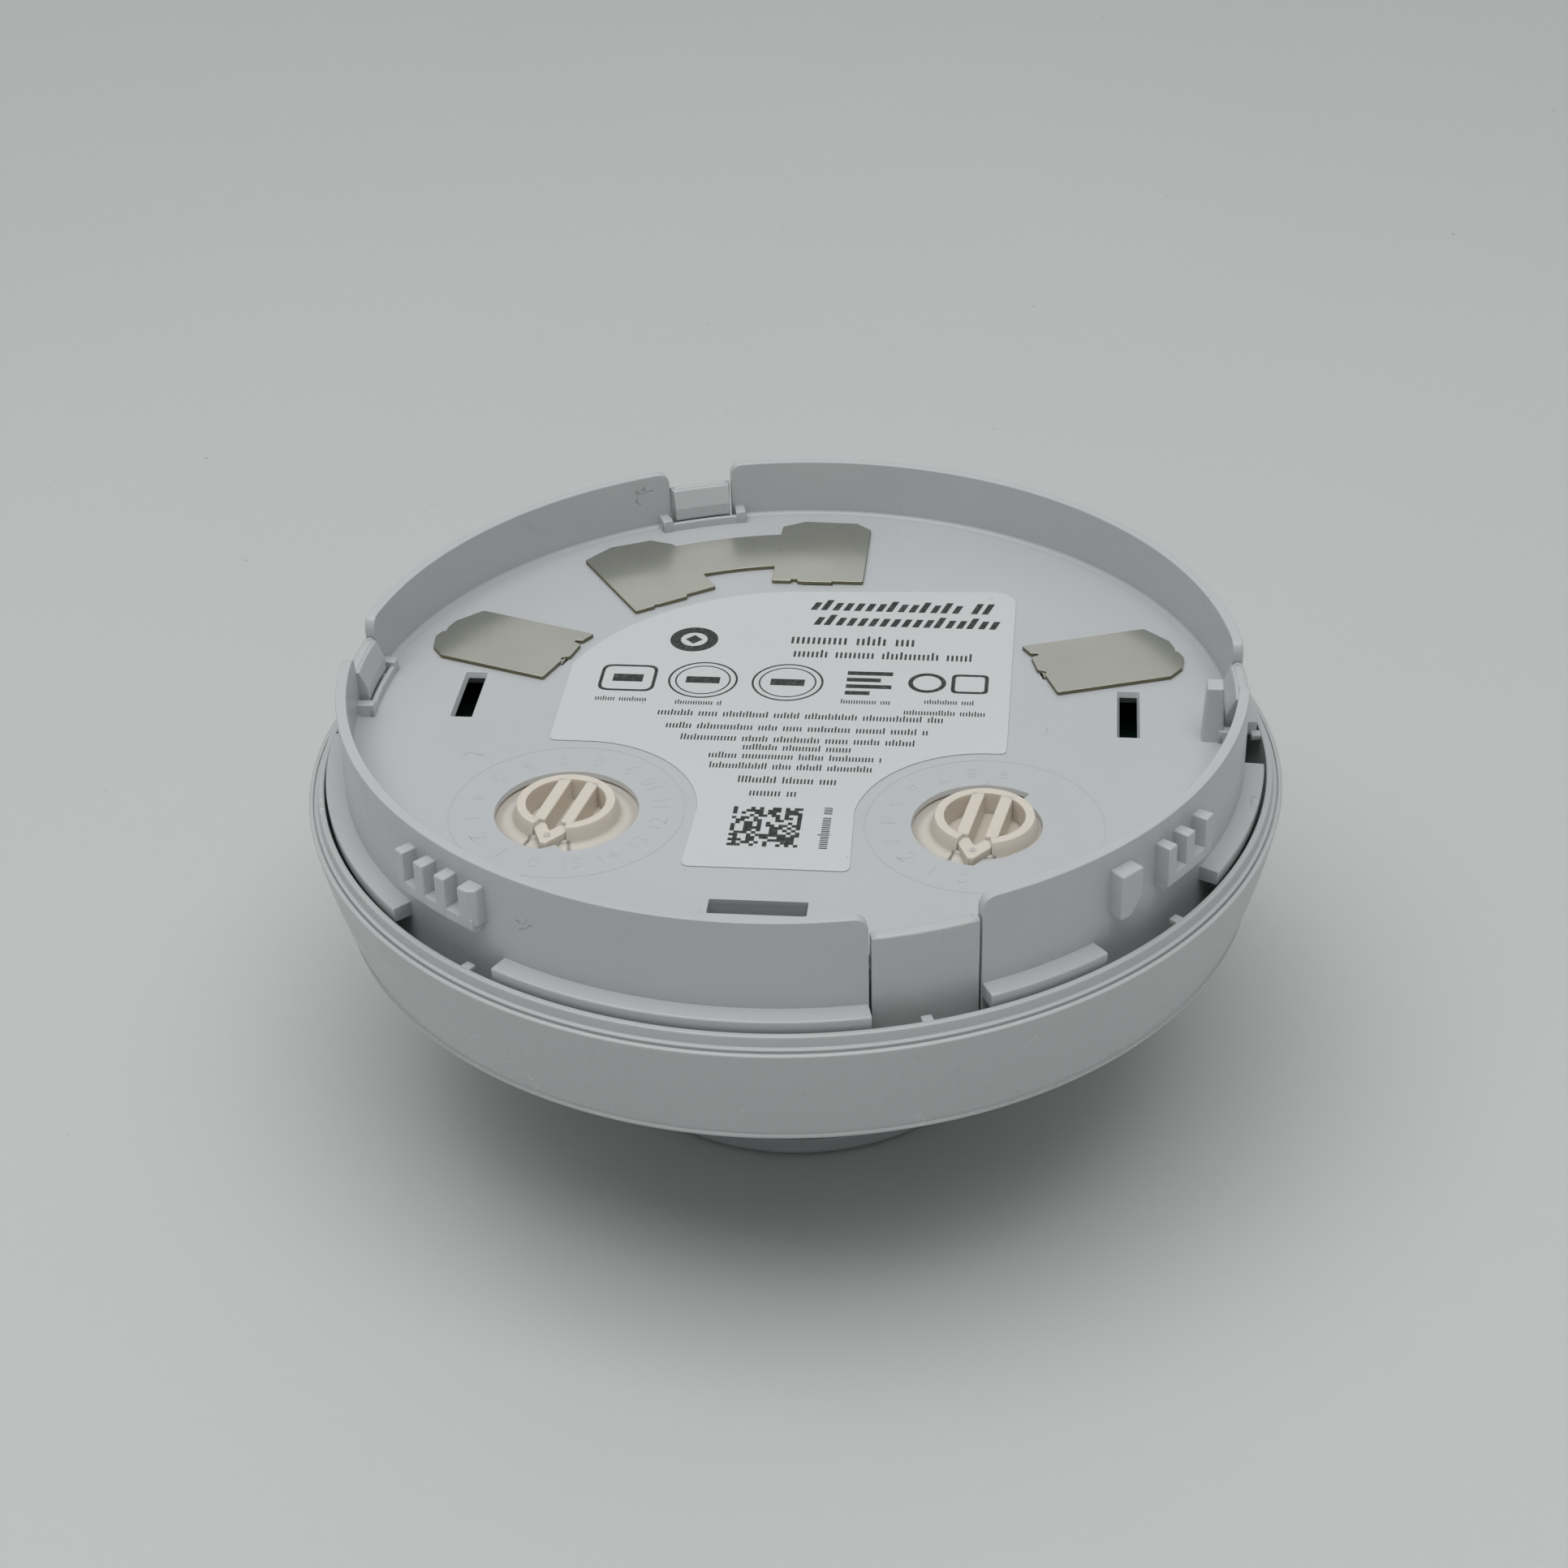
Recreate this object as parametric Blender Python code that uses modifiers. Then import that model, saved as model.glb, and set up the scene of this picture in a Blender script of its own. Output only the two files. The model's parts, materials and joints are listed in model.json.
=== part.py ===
"""Point heat detector head, standing on its nose with its mounting side up.

Blender 4.5 script. The model is in metres with +Z up; the constants below are
in millimetres and every helper turns them into metres. The origin is the
middle of the nose face, +X runs along the label's lines and +Y towards the
double contact plate. Angles are degrees about +Z from +X.
"""
import math

import bmesh
import bpy
from mathutils import Matrix, Vector

MM = 0.001
SEGMENTS = 72
GAP = 0.3
BITE = 0.4

# Heights above the nose face
COLLAR_TOP = 48.2
PLATE_TOP = 41.6
PLATE_BOTTOM = 39.8
FLANGE_TOP = 38.7
FLANGE_BOTTOM = 37.1
WALL_BOTTOM = 32.2
RIM_TOP = 37.7
SKIRT_TOP = 36.3
SKIRT_BOTTOM = 24.45
NECK_BOTTOM = 12.0
NOSE_TOP = 4.6
BOARD_TOP = 36.8
BOARD_BOTTOM = 35.2

# Radii
COLLAR_OUTER = 46.5
COLLAR_INNER = 45.4
FLANGE_OUTER = 48.5
RIM_INNER = 48.75
SKIRT_OUTER = 50.5
SKIRT_FOOT = 47.4
NECK_OUTER = 23.7
NECK_INNER = 22.1
NOSE_RADIUS = 21.6
BOARD_RADIUS = 43.5

# Release tabs: name, middle angle, width in degrees
TABS = (("front", -69.4, 13.2), ("right", 2.6, 9.6), ("rear", 109.1, 9.2), ("left", 177.4, 9.6))
TAB_SLIT = 0.35
TAB_TOP = 46.0
TAB_FOOT = 28.9
TAB_PIVOT_RADIUS = 46.0
TAB_INNER = 45.4
HOOK_INNER = 44.3
HOOK_BOTTOM = 43.4
CURB_TOP = 43.0
CURB_INNER = 43.6
CURB_OUTER = 45.2
CURB_SPREAD = 1.8

# Gaps in the flange for the locking lugs, and each lug's ribs as angle, width
RECESSES = ((-136.8, -120.0), (-47.5, -26.9), (42.5, 60.0), (132.0, 149.0))
RIB_PITCH = 3.7
RIB_WIDTH = 1.6
RIB_TOP = 46.1
RIB_OUTER = 48.15
RIB_FOOT = 41.15
BAR_TOP = 42.9
FOUR_RIB_STARTS = (-135.7, 46.0, 135.5)
THREE_RIB_START = -37.5
LONE_RIB = (-45.3, -42.0)
STOP_NUBS = (-123.7, -70.0, -35.8, 2.6, 51.0, 109.1, 140.5, 177.4)
NUB_INNER = 47.75

# Slots in the back plate: middle x, y and size along x, y
SLOTS = ((-34.55, 2.15, 2.3, 9.1), (34.55, 2.1, 2.3, 9.1), (0.0, -34.75, 9.4, 2.3))
POST = (43.0, -1.65, 1.9, 2.1)

# Address dials
DIAL_X = 20.6
DIAL_Y = -19.4
DIAL_OPENING = 7.15
DIAL_NARROW = 5.8
DIAL_WEB = 0.6
DIAL_FLANGE = 7.9
DIAL_COUNTERBORE = 8.2
DIAL_RING_OUTER = 4.85
DIAL_RING_INNER = 3.95
DIAL_RING_TOP = 42.75
DIAL_CUP_FLOOR = 40.4
DIAL_HUB = 2.4
DIAL_REST = {"tens": -101.25, "ones": -100.0}
POINTER_TIP = 7.0

# Contact plates
CONTACT_THICK = 0.5
CONTACT_BOTTOM = PLATE_TOP + GAP
TAIL_WIDTH = 3.2
TAIL_THICK = 0.5
TAIL_BOTTOM = 37.1
SIDE_CONTACT = (
    (24.4, 14.6), (26.9, 5.4), (39.0, 9.4), (40.2, 11.2), (40.4, 13.4), (39.0, 16.8), (36.2, 19.3))
SIDE_TAIL = (25.5, 10.4, 18.0)
REAR_TAILS = ((0.0, 28.3, 90.0), (-16.2, 23.3, 123.0))

BOSSES = ((-37.5, -9.5), (37.5, -9.5), (11.0, 36.0))
LIGHT_PIPES = (("a", 31.0, -14.5), ("b", -31.0, -14.5))
PIPE_RADIUS = 1.5


# ---------------------------------------------------------------- helpers

def clear_scene():
    for obj in list(bpy.data.objects):
        bpy.data.objects.remove(obj, do_unlink=True)


def new_collection(name):
    collection = bpy.data.collections.new(name)
    bpy.context.scene.collection.children.link(collection)
    return collection


def material(name, color, roughness, metallic=0.0, alpha=1.0):
    mat = bpy.data.materials.new(name)
    mat.use_nodes = True
    shader = mat.node_tree.nodes["Principled BSDF"]
    shader.inputs["Base Color"].default_value = (*color, 1.0)
    shader.inputs["Roughness"].default_value = roughness
    shader.inputs["Metallic"].default_value = metallic
    shader.inputs["Alpha"].default_value = alpha
    return mat


def place(name, mesh):
    """Wrap a mesh in an object of the cutters' collection."""
    obj = bpy.data.objects.new(name, mesh)
    cutters.objects.link(obj)
    obj.hide_render = True
    obj.display_type = "WIRE"
    return obj


def as_part(obj, name, mat):
    """Turn a worked solid into a named sub-part."""
    cutters.objects.unlink(obj)
    parts.objects.link(obj)
    obj.name = name
    obj.hide_render = False
    obj.display_type = "TEXTURED"
    obj.data.materials.clear()
    obj.data.materials.append(mat)
    obj.data.shade_smooth()
    obj.data.set_sharp_from_angle(angle=math.radians(30))
    return obj


def turned(name, profile, segments=SEGMENTS, centre=(0.0, 0.0)):
    """Solid of revolution; the profile runs down its outer side."""
    mesh = bpy.data.meshes.new(name)
    points = [(r * MM, 0.0, z * MM) for r, z in profile]
    count = len(points)
    touches_axis = profile[0][0] == 0.0 and profile[-1][0] == 0.0
    edges = [(i, i + 1) for i in range(count - 1)]
    if not touches_axis:
        edges.append((count - 1, 0))
    mesh.from_pydata(points, edges, [])
    obj = place(name, mesh)
    obj.location = (centre[0] * MM, centre[1] * MM, 0.0)
    screw = obj.modifiers.new("turn", "SCREW")
    screw.angle = 2.0 * math.pi
    screw.steps = segments
    screw.render_steps = segments
    screw.use_merge_vertices = True
    screw.merge_threshold = 0.00001
    return obj


def prism(name, outline, bottom, top):
    """Extruded flat outline between two heights."""
    curve = bpy.data.curves.new(name, "CURVE")
    curve.dimensions = "2D"
    curve.fill_mode = "BOTH"
    curve.extrude = 0.5 * (top - bottom) * MM
    spline = curve.splines.new("POLY")
    spline.points.add(len(outline) - 1)
    for point, (x, y) in zip(spline.points, outline):
        point.co = (x * MM, y * MM, 0.0, 1.0)
    spline.use_cyclic_u = True
    source = bpy.data.objects.new(name, curve)
    cutters.objects.link(source)
    source.location.z = 0.5 * (top + bottom) * MM
    return curve_to_mesh(source)


def curve_to_mesh(source):
    bpy.context.view_layer.update()
    evaluated = source.evaluated_get(bpy.context.evaluated_depsgraph_get())
    mesh = bpy.data.meshes.new_from_object(evaluated)
    shape = bmesh.new()
    shape.from_mesh(mesh)
    bmesh.ops.remove_doubles(shape, verts=shape.verts, dist=0.000001)
    bmesh.ops.recalc_face_normals(shape, faces=shape.faces)
    shape.to_mesh(mesh)
    shape.free()
    obj = place(source.name, mesh)
    obj.matrix_world = source.matrix_world
    bpy.data.objects.remove(source)
    return obj


def polar(radius, degrees, centre=(0.0, 0.0)):
    angle = math.radians(degrees)
    return (centre[0] + radius * math.cos(angle), centre[1] + radius * math.sin(angle))


def arc(radius, start, end, centre=(0.0, 0.0), step=5.0):
    count = max(2, int(math.ceil(abs(end - start) / step)) + 1)
    turns = [start + (end - start) * i / (count - 1) for i in range(count)]
    return [polar(radius, turn, centre) for turn in turns]


def sector(name, inner, outer, start, end, bottom, top, centre=(0.0, 0.0)):
    outline = arc(outer, start, end, centre) + arc(inner, end, start, centre)
    return prism(name, outline, bottom, top)


def box(name, size, centre, turn=0.0):
    shape = bmesh.new()
    scale = Matrix.Diagonal((size[0] * MM, size[1] * MM, size[2] * MM, 1.0))
    spin = Matrix.Rotation(math.radians(turn), 4, "Z")
    bmesh.ops.create_cube(shape, size=1.0, matrix=Matrix.Translation(Vector(centre) * MM) @ spin @ scale)
    mesh = bpy.data.meshes.new(name)
    shape.to_mesh(mesh)
    shape.free()
    return place(name, mesh)


def cylinder(name, radius, bottom, top, centre=(0.0, 0.0), segments=24):
    shape = bmesh.new()
    middle = Vector((centre[0], centre[1], 0.5 * (bottom + top))) * MM
    bmesh.ops.create_cone(
        shape, cap_ends=True, segments=segments, radius1=radius * MM, radius2=radius * MM,
        depth=(top - bottom) * MM, matrix=Matrix.Translation(middle))
    mesh = bpy.data.meshes.new(name)
    shape.to_mesh(mesh)
    shape.free()
    return place(name, mesh)


def rod(name, start, end, radius, segments=16):
    """Round bar between two points."""
    start = Vector(start) * MM
    along = Vector(end) * MM - start
    turn = along.to_track_quat("Z", "Y").to_matrix().to_4x4()
    shape = bmesh.new()
    bmesh.ops.create_cone(
        shape, cap_ends=True, segments=segments, radius1=radius * MM, radius2=radius * MM,
        depth=along.length, matrix=Matrix.Translation(start + 0.5 * along) @ turn)
    mesh = bpy.data.meshes.new(name)
    shape.to_mesh(mesh)
    shape.free()
    return place(name, mesh)


def wire(name, route, radius):
    """Bent wire along a short list of points."""
    curve = bpy.data.curves.new(name, "CURVE")
    curve.dimensions = "3D"
    curve.bevel_depth = radius * MM
    curve.bevel_resolution = 2
    curve.use_fill_caps = True
    spline = curve.splines.new("POLY")
    spline.points.add(len(route) - 1)
    for point, spot in zip(spline.points, route):
        point.co = (*(Vector(spot) * MM), 1.0)
    source = bpy.data.objects.new(name, curve)
    cutters.objects.link(source)
    return curve_to_mesh(source)


def combine(target, tools, operation):
    for tool in tools:
        modifier = target.modifiers.new(tool.name, "BOOLEAN")
        modifier.operation = operation
        modifier.object = tool
    return target


def add(target, tools):
    return combine(target, tools, "UNION")


def cut(target, tools):
    return combine(target, tools, "DIFFERENCE")


def hinge_origin(obj, pivot):
    """Move the object's origin onto its joint's axis and keep its shape in place."""
    spot = Vector(pivot) * MM
    obj.data.transform(Matrix.Translation(-spot) @ obj.matrix_world)
    obj.matrix_world = Matrix.Translation(spot)


def apply_modifiers(obj):
    """Bake the modifiers, so the mesh can take another origin."""
    bpy.context.view_layer.update()
    evaluated = obj.evaluated_get(bpy.context.evaluated_depsgraph_get())
    obj.data = bpy.data.meshes.new_from_object(evaluated)
    obj.modifiers.clear()


# ---------------------------------------------------------------- rear housing

def dial_opening(name, x, narrow_from=None, narrow_to=None):
    """Cutter of one dial's opening: a round hole with a wider counterbore below."""
    centre = (x, DIAL_Y)
    hole = cylinder(name + "_hole", DIAL_OPENING, PLATE_BOTTOM - 1.0, PLATE_TOP + 1.0, centre, 48)
    bore = cylinder(name + "_bore", DIAL_COUNTERBORE, PLATE_BOTTOM - 1.0, PLATE_TOP - DIAL_WEB, centre, 48)
    if narrow_from is not None:
        keep = sector(name + "_keep", DIAL_NARROW, DIAL_OPENING + 0.5, narrow_from, narrow_to,
                      PLATE_TOP - DIAL_WEB - 0.3, PLATE_TOP + 2.0, centre)
        cut(hole, [keep])
    return [hole, bore]


def flange_segments():
    """Flange between the recesses; its ends run a little into the tab slots that cut it."""
    stops = []
    for _, middle, width in TABS:
        stops.append((middle - 0.25 * width, middle + 0.25 * width))
    stops = sorted(stops + list(RECESSES))
    pieces = []
    for i, (_, start) in enumerate(stops):
        end = stops[(i + 1) % len(stops)][0]
        if end < start:
            end += 360.0
        pieces.append(sector("flange_%d" % i, COLLAR_OUTER - BITE, FLANGE_OUTER, start, end,
                             FLANGE_BOTTOM, FLANGE_TOP))
    return pieces


def lug(name, starts, end):
    """Ribs on the collar that stand on one bar."""
    pieces = []
    for i, start in enumerate(starts):
        pieces.append(sector("%s_rib_%d" % (name, i), COLLAR_OUTER - BITE, RIB_OUTER,
                             start, start + RIB_WIDTH, RIB_FOOT + 0.9, RIB_TOP))
    pieces.append(sector(name + "_bar", COLLAR_OUTER - BITE - 0.1, RIB_OUTER - 0.1,
                         starts[0] + 0.1, end, RIB_FOOT, BAR_TOP))
    return pieces


def locking_lugs():
    pieces = []
    for i, start in enumerate(FOUR_RIB_STARTS):
        starts = [start + RIB_PITCH * k for k in range(4)]
        pieces += lug("lug_%d" % i, starts, starts[3] + RIB_WIDTH - 0.1)
    starts = [THREE_RIB_START + RIB_PITCH * k for k in range(3)]
    pieces += lug("lug_right", starts, starts[2] + RIB_WIDTH - 0.1)
    pieces.append(sector("lug_lone", COLLAR_OUTER - BITE, RIB_OUTER, LONE_RIB[0], LONE_RIB[1],
                         RIB_FOOT, RIB_TOP))
    return pieces


def curb(name, middle, width):
    """Low wall round the inner side of a tab's slot."""
    half = 0.5 * width + CURB_SPREAD
    return sector(name, CURB_INNER, CURB_OUTER + 0.6, middle - half, middle + half,
                  PLATE_TOP - BITE, CURB_TOP)


def tab_slot(name, middle, width):
    half = 0.5 * width
    return sector(name, CURB_OUTER - 0.2, FLANGE_OUTER + 0.4, middle - half, middle + half,
                  WALL_BOTTOM - 1.0, COLLAR_TOP + 1.0)


def make_chassis(mat):
    shell = turned("chassis_body", [
        (0.0, PLATE_TOP), (COLLAR_INNER - 0.6, PLATE_TOP), (COLLAR_INNER, PLATE_TOP + 0.6),
        (COLLAR_INNER, COLLAR_TOP), (COLLAR_OUTER, COLLAR_TOP), (COLLAR_OUTER, WALL_BOTTOM),
        (COLLAR_INNER - 0.3, WALL_BOTTOM), (COLLAR_INNER - 0.3, PLATE_BOTTOM), (0.0, PLATE_BOTTOM)])
    add(shell, flange_segments() + locking_lugs())
    add(shell, [curb("curb_" + name, middle, width) for name, middle, width in TABS])
    x, y, width, depth = POST
    post_middle = 0.5 * (COLLAR_TOP + PLATE_TOP) - BITE
    add(shell, [box("post", (width, depth, COLLAR_TOP - PLATE_TOP), (x, y, post_middle))])
    add(shell, [cylinder("boss_%d" % i, 3.0, BOARD_TOP + GAP, PLATE_BOTTOM + BITE, spot)
                for i, spot in enumerate(BOSSES)])
    cut(shell, [tab_slot("slot_" + name, middle, width) for name, middle, width in TABS])
    cut(shell, [box("slot_%d" % i, (w, d, 6.0), (x, y, PLATE_TOP - 1.0))
                for i, (x, y, w, d) in enumerate(SLOTS)])
    cut(shell, dial_opening("tens", -DIAL_X) + dial_opening("ones", DIAL_X, -81.0, 54.0))
    tens = (-DIAL_X, DIAL_Y)
    tooth = [polar(DIAL_OPENING + 0.6, turn, tens) for turn in (-98.0, -82.0)] + [polar(6.1, -90.0, tens)]
    add(shell, [prism("tooth", tooth, PLATE_TOP - DIAL_WEB + 0.05, PLATE_TOP - 0.02)])
    cut(shell, [cylinder("boss_hole_%d" % i, 1.4, BOARD_TOP - 1.0, PLATE_BOTTOM, spot, 16)
                for i, spot in enumerate(BOSSES)])
    cut(shell, tail_slots(PLATE_BOTTOM - 1.0, PLATE_TOP + 1.0))
    return as_part(shell, "chassis", mat)


# ---------------------------------------------------------------- contacts and label

def tail_places():
    x, y, turn = SIDE_TAIL
    return [(x, y, turn), (-x, y, 180.0 - turn)] + list(REAR_TAILS)


def tail_slots(bottom, top):
    """Cutters for the contact tails, a gap wider than each tail all round."""
    size = (TAIL_THICK + 2.0 * GAP, TAIL_WIDTH + 2.0 * GAP, top - bottom)
    return [box("tail_slot_%d_%d" % (i, round(top)), size, (x, y, 0.5 * (top + bottom)), turn)
            for i, (x, y, turn) in enumerate(tail_places())]


def tail(name, x, y, turn):
    top = CONTACT_BOTTOM + 0.5 * CONTACT_THICK
    size = (TAIL_THICK, TAIL_WIDTH, top - TAIL_BOTTOM)
    return box(name, size, (x, y, 0.5 * (top + TAIL_BOTTOM)), turn)


def make_side_contact(side, mat):
    sign = 1.0 if side == "right" else -1.0
    outline = [(sign * x, y) for x, y in SIDE_CONTACT]
    plate = prism("contact", outline, CONTACT_BOTTOM, CONTACT_BOTTOM + CONTACT_THICK)
    x, y, turn = SIDE_TAIL
    spot = (x, y, turn) if side == "right" else (-x, y, 180.0 - turn)
    add(plate, [tail("tail_" + side, *spot)])
    return as_part(plate, "contact_" + side, mat)


def rear_contact_outline():
    """Two lobes with a curved strip between; the left lobe is turned 33 degrees."""
    right = [(-5.1, 28.0), (5.1, 28.0), (5.1, 40.6), (3.4, 42.1), (-2.6, 42.3), (-5.1, 40.9)]
    outer_strip = arc(39.3, 97.5, 115.5)
    left_turn = math.radians(33.0)
    left = []
    for x, y in ((5.0, 39.6), (3.2, 41.7), (-1.5, 42.4), (-5.3, 41.0), (-5.3, 27.5), (4.9, 27.5)):
        left.append((x * math.cos(left_turn) - y * math.sin(left_turn),
                     x * math.sin(left_turn) + y * math.cos(left_turn)))
    inner_strip = arc(31.8, 114.0, 99.3)
    return right[:5] + [(-5.1, 40.9)] + outer_strip + left + inner_strip


def make_rear_contact(mat):
    plate = prism("contact", rear_contact_outline(), CONTACT_BOTTOM, CONTACT_BOTTOM + CONTACT_THICK)
    add(plate, [tail("tail_rear_%d" % i, *spot) for i, spot in enumerate(REAR_TAILS)])
    return as_part(plate, "contact_rear", mat)


def label_outline():
    """Sticker between the contacts, cut back round both dials."""
    clear = 12.9
    right = (DIAL_X, DIAL_Y)
    left = (-DIAL_X, DIAL_Y)
    half_foot = 8.1
    foot_turn = math.degrees(math.acos((DIAL_X - half_foot) / clear))
    outline = [(-half_foot, -28.4), (half_foot, -28.4)]
    outline += arc(clear, 180.0 - foot_turn, 90.0, right)
    outline += [(22.3, DIAL_Y + clear)] + arc(2.6, 0.0, 90.0, (19.7, 24.6))
    outline += arc(26.2, 97.0, 160.0) + [(-24.6, DIAL_Y + clear)]
    outline += arc(clear, 90.0, foot_turn, left)
    return outline


def make_label(mat):
    return as_part(prism("label", label_outline(), PLATE_TOP + GAP, PLATE_TOP + GAP + 0.12), "label", mat)


# ---------------------------------------------------------------- address dials

def make_dial(which, x, mat):
    """Cup with two finger bars and a pointer, on a flange that the back plate holds down."""
    centre = (x, DIAL_Y)
    rest = DIAL_REST[which]
    flange_top = PLATE_TOP - DIAL_WEB - GAP
    flange_bottom = flange_top - 0.8
    body = turned("dial", [
        (DIAL_RING_INNER, DIAL_RING_TOP), (DIAL_RING_OUTER, DIAL_RING_TOP),
        (DIAL_RING_OUTER + 0.3, flange_top),
        (DIAL_FLANGE, flange_top), (DIAL_FLANGE, flange_bottom), (DIAL_HUB, flange_bottom),
        (DIAL_HUB, BOARD_TOP + GAP), (0.0, BOARD_TOP + GAP), (0.0, DIAL_CUP_FLOOR),
        (DIAL_RING_INNER - 0.2, DIAL_CUP_FLOOR)], 48, centre)
    bars = []
    for side in (-1.0, 1.0):
        spot = polar(1.45 * side, rest + 90.0, centre)
        bars.append(box("bar_%s_%d" % (which, side), (2.0 * DIAL_RING_INNER - 1.0, 1.15, 2.2),
                        (spot[0], spot[1], DIAL_RING_TOP - 1.1 - 0.02), rest))
    foot_left = polar(DIAL_RING_OUTER - 0.35, rest - 22.0, centre)
    foot_right = polar(DIAL_RING_OUTER - 0.35, rest + 22.0, centre)
    tip = [polar(POINTER_TIP, rest - 1.5, centre), polar(POINTER_TIP, rest + 1.5, centre)]
    pointer = prism("pointer_" + which, [foot_left, tip[0], tip[1], foot_right],
                    flange_top + 0.35, DIAL_RING_TOP - 0.45)
    add(body, bars + [pointer])
    dial = as_part(body, which + "_dial", mat)
    apply_modifiers(dial)
    hinge_origin(dial, (x, DIAL_Y, DIAL_RING_TOP))
    return dial


def make_wiper(which, x, mat):
    """Flat spring washer with three legs that reach down to the board's pads."""
    centre = (x, DIAL_Y)
    top = PLATE_TOP - DIAL_WEB - GAP - 0.8 - GAP
    pad = BOARD_TOP + GAP
    washer = turned("wiper", [(3.0, top), (6.4, top), (6.4, top - 0.3), (3.0, top - 0.3)], 36, centre)
    legs = []
    for k in range(3):
        turn = DIAL_REST[which] + 120.0 * k
        x_leg, y_leg = polar(5.0, turn, centre)
        legs.append(box("foot_%s_%d" % (which, k), (1.2, 2.6, 0.3), (x_leg, y_leg, pad + 0.15), turn))
        legs.append(box("riser_%s_%d" % (which, k), (1.0, 0.4, top - pad - 0.3),
                        (x_leg, y_leg, 0.5 * (top + pad)), turn))
    add(washer, legs)
    wiper = as_part(washer, which + "_wiper", mat)
    apply_modifiers(wiper)
    hinge_origin(wiper, (x, DIAL_Y, top))
    return wiper


# ---------------------------------------------------------------- cover, nose and tabs

def make_cover(mat):
    skirt = []
    for i in range(7):
        along = i / 6.0
        radius = SKIRT_OUTER - (SKIRT_OUTER - SKIRT_FOOT) * (0.62 * along + 0.38 * along * along)
        skirt.append((radius, SKIRT_TOP - (SKIRT_TOP - SKIRT_BOTTOM) * along))
    inside = [(RIM_INNER - 1.1, 32.2), (45.9, 26.6), (44.4, 25.0), (25.0, 15.7), (NECK_INNER, 15.4)]
    shell = turned("cover_body", [
        (RIM_INNER, RIM_TOP), (49.4, RIM_TOP), (49.4, RIM_TOP - 1.15), (49.95, RIM_TOP - 1.15),
        (49.95, SKIRT_TOP + 0.05)] + skirt + [
        (46.5, SKIRT_BOTTOM - 0.9), (26.0, 13.9), (NECK_OUTER, 12.9), (NECK_OUTER - 0.3, NECK_BOTTOM),
        (NECK_INNER, NECK_BOTTOM)] + inside[::-1] + [(RIM_INNER - 0.05, 35.0)])
    add(shell, [sector("nub_%d" % i, NUB_INNER, RIM_INNER + 0.3, turn - 0.65, turn + 0.65,
                       RIM_TOP - 0.75, RIM_TOP - 0.05)
                for i, turn in enumerate(STOP_NUBS)])
    cut(shell, [cylinder("pipe_hole_" + name, PIPE_RADIUS + GAP, 14.0, 26.5, (x, y), 20)
                for name, x, y in LIGHT_PIPES])
    return as_part(shell, "cover", mat)


def make_nose_cage(mat):
    nose = turned("nose", [
        (0.0, NOSE_TOP - 2.2), (17.8, NOSE_TOP - 2.2), (18.6, NOSE_TOP), (NOSE_RADIUS, NOSE_TOP),
        (NOSE_RADIUS, 0.9), (NOSE_RADIUS - 0.9, 0.0), (0.0, 0.0)])
    ribs = [sector("cage_rib_%d" % k, 19.2, 21.3, 30.0 * k + 11.0, 30.0 * k + 19.0, NOSE_TOP - BITE, 13.4)
            for k in range(12)]
    add(nose, ribs)
    return as_part(nose, "nose_cage", mat)


def make_tab(name, middle, width, mat):
    """Spring arm beside the collar, with a hook over the curb and its pivot at the foot."""
    slit = math.degrees(TAB_SLIT / COLLAR_OUTER)
    half = 0.5 * width - slit
    arm = sector("tab_arm", TAB_INNER, COLLAR_OUTER, middle - half, middle + half, TAB_FOOT, TAB_TOP)
    hook_half = half - 1.2
    hook = sector("tab_hook_" + name, HOOK_INNER, TAB_INNER + BITE, middle - hook_half, middle + hook_half,
                  HOOK_BOTTOM, TAB_TOP - 0.1)
    add(arm, [hook])
    tab = as_part(arm, "tab_" + name, mat)
    apply_modifiers(tab)
    x, y = polar(TAB_PIVOT_RADIUS, middle)
    hinge_origin(tab, (x, y, TAB_FOOT))
    return tab


# ---------------------------------------------------------------- inside

def make_board(mat):
    board = cylinder("board", BOARD_RADIUS, BOARD_BOTTOM, BOARD_TOP, segments=SEGMENTS)
    holes = [cylinder("board_hole_%d" % i, 1.5, BOARD_BOTTOM - 1.0, BOARD_TOP + 1.0, spot, 16)
             for i, spot in enumerate(BOSSES)]
    cut(board, holes)
    return as_part(board, "pcb", mat)


def make_board_screws(mat):
    for name, spot in zip("abc", BOSSES):
        screw = turned("screw", [
            (0.0, PLATE_BOTTOM - 0.6), (1.05, PLATE_BOTTOM - 0.6), (1.05, BOARD_BOTTOM - GAP),
            (2.3, BOARD_BOTTOM - GAP), (2.3, BOARD_BOTTOM - GAP - 1.5), (0.0, BOARD_BOTTOM - GAP - 1.5)],
            16, spot)
        as_part(screw, "pcb_screw_" + name, mat)


def make_thermistor(mat):
    bead = turned("bead", [(0.0, 9.4), (0.8, 9.0), (1.25, 8.0), (1.25, 7.2), (0.8, 6.3), (0.0, 5.9)], 16)
    leads = []
    for side in (-1, 1):
        route = [(side * 0.9, 0.0, 34.9), (side * 0.9, 0.0, 14.0), (side * 0.55, 0.0, 8.6)]
        leads.append(wire("lead_%d" % side, route, 0.25))
    add(bead, leads)
    return as_part(bead, "thermistor", mat)


def make_sleeve(mat):
    sleeve = turned("sleeve", [
        (1.9, 34.9), (2.9, 34.9), (2.9, 15.6), (NOSE_RADIUS, 15.2), (NOSE_RADIUS, 14.0),
        (2.6, 14.0), (2.6, 11.6), (1.9, 11.6)], 48)
    return as_part(sleeve, "thermistor_sleeve", mat)


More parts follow.
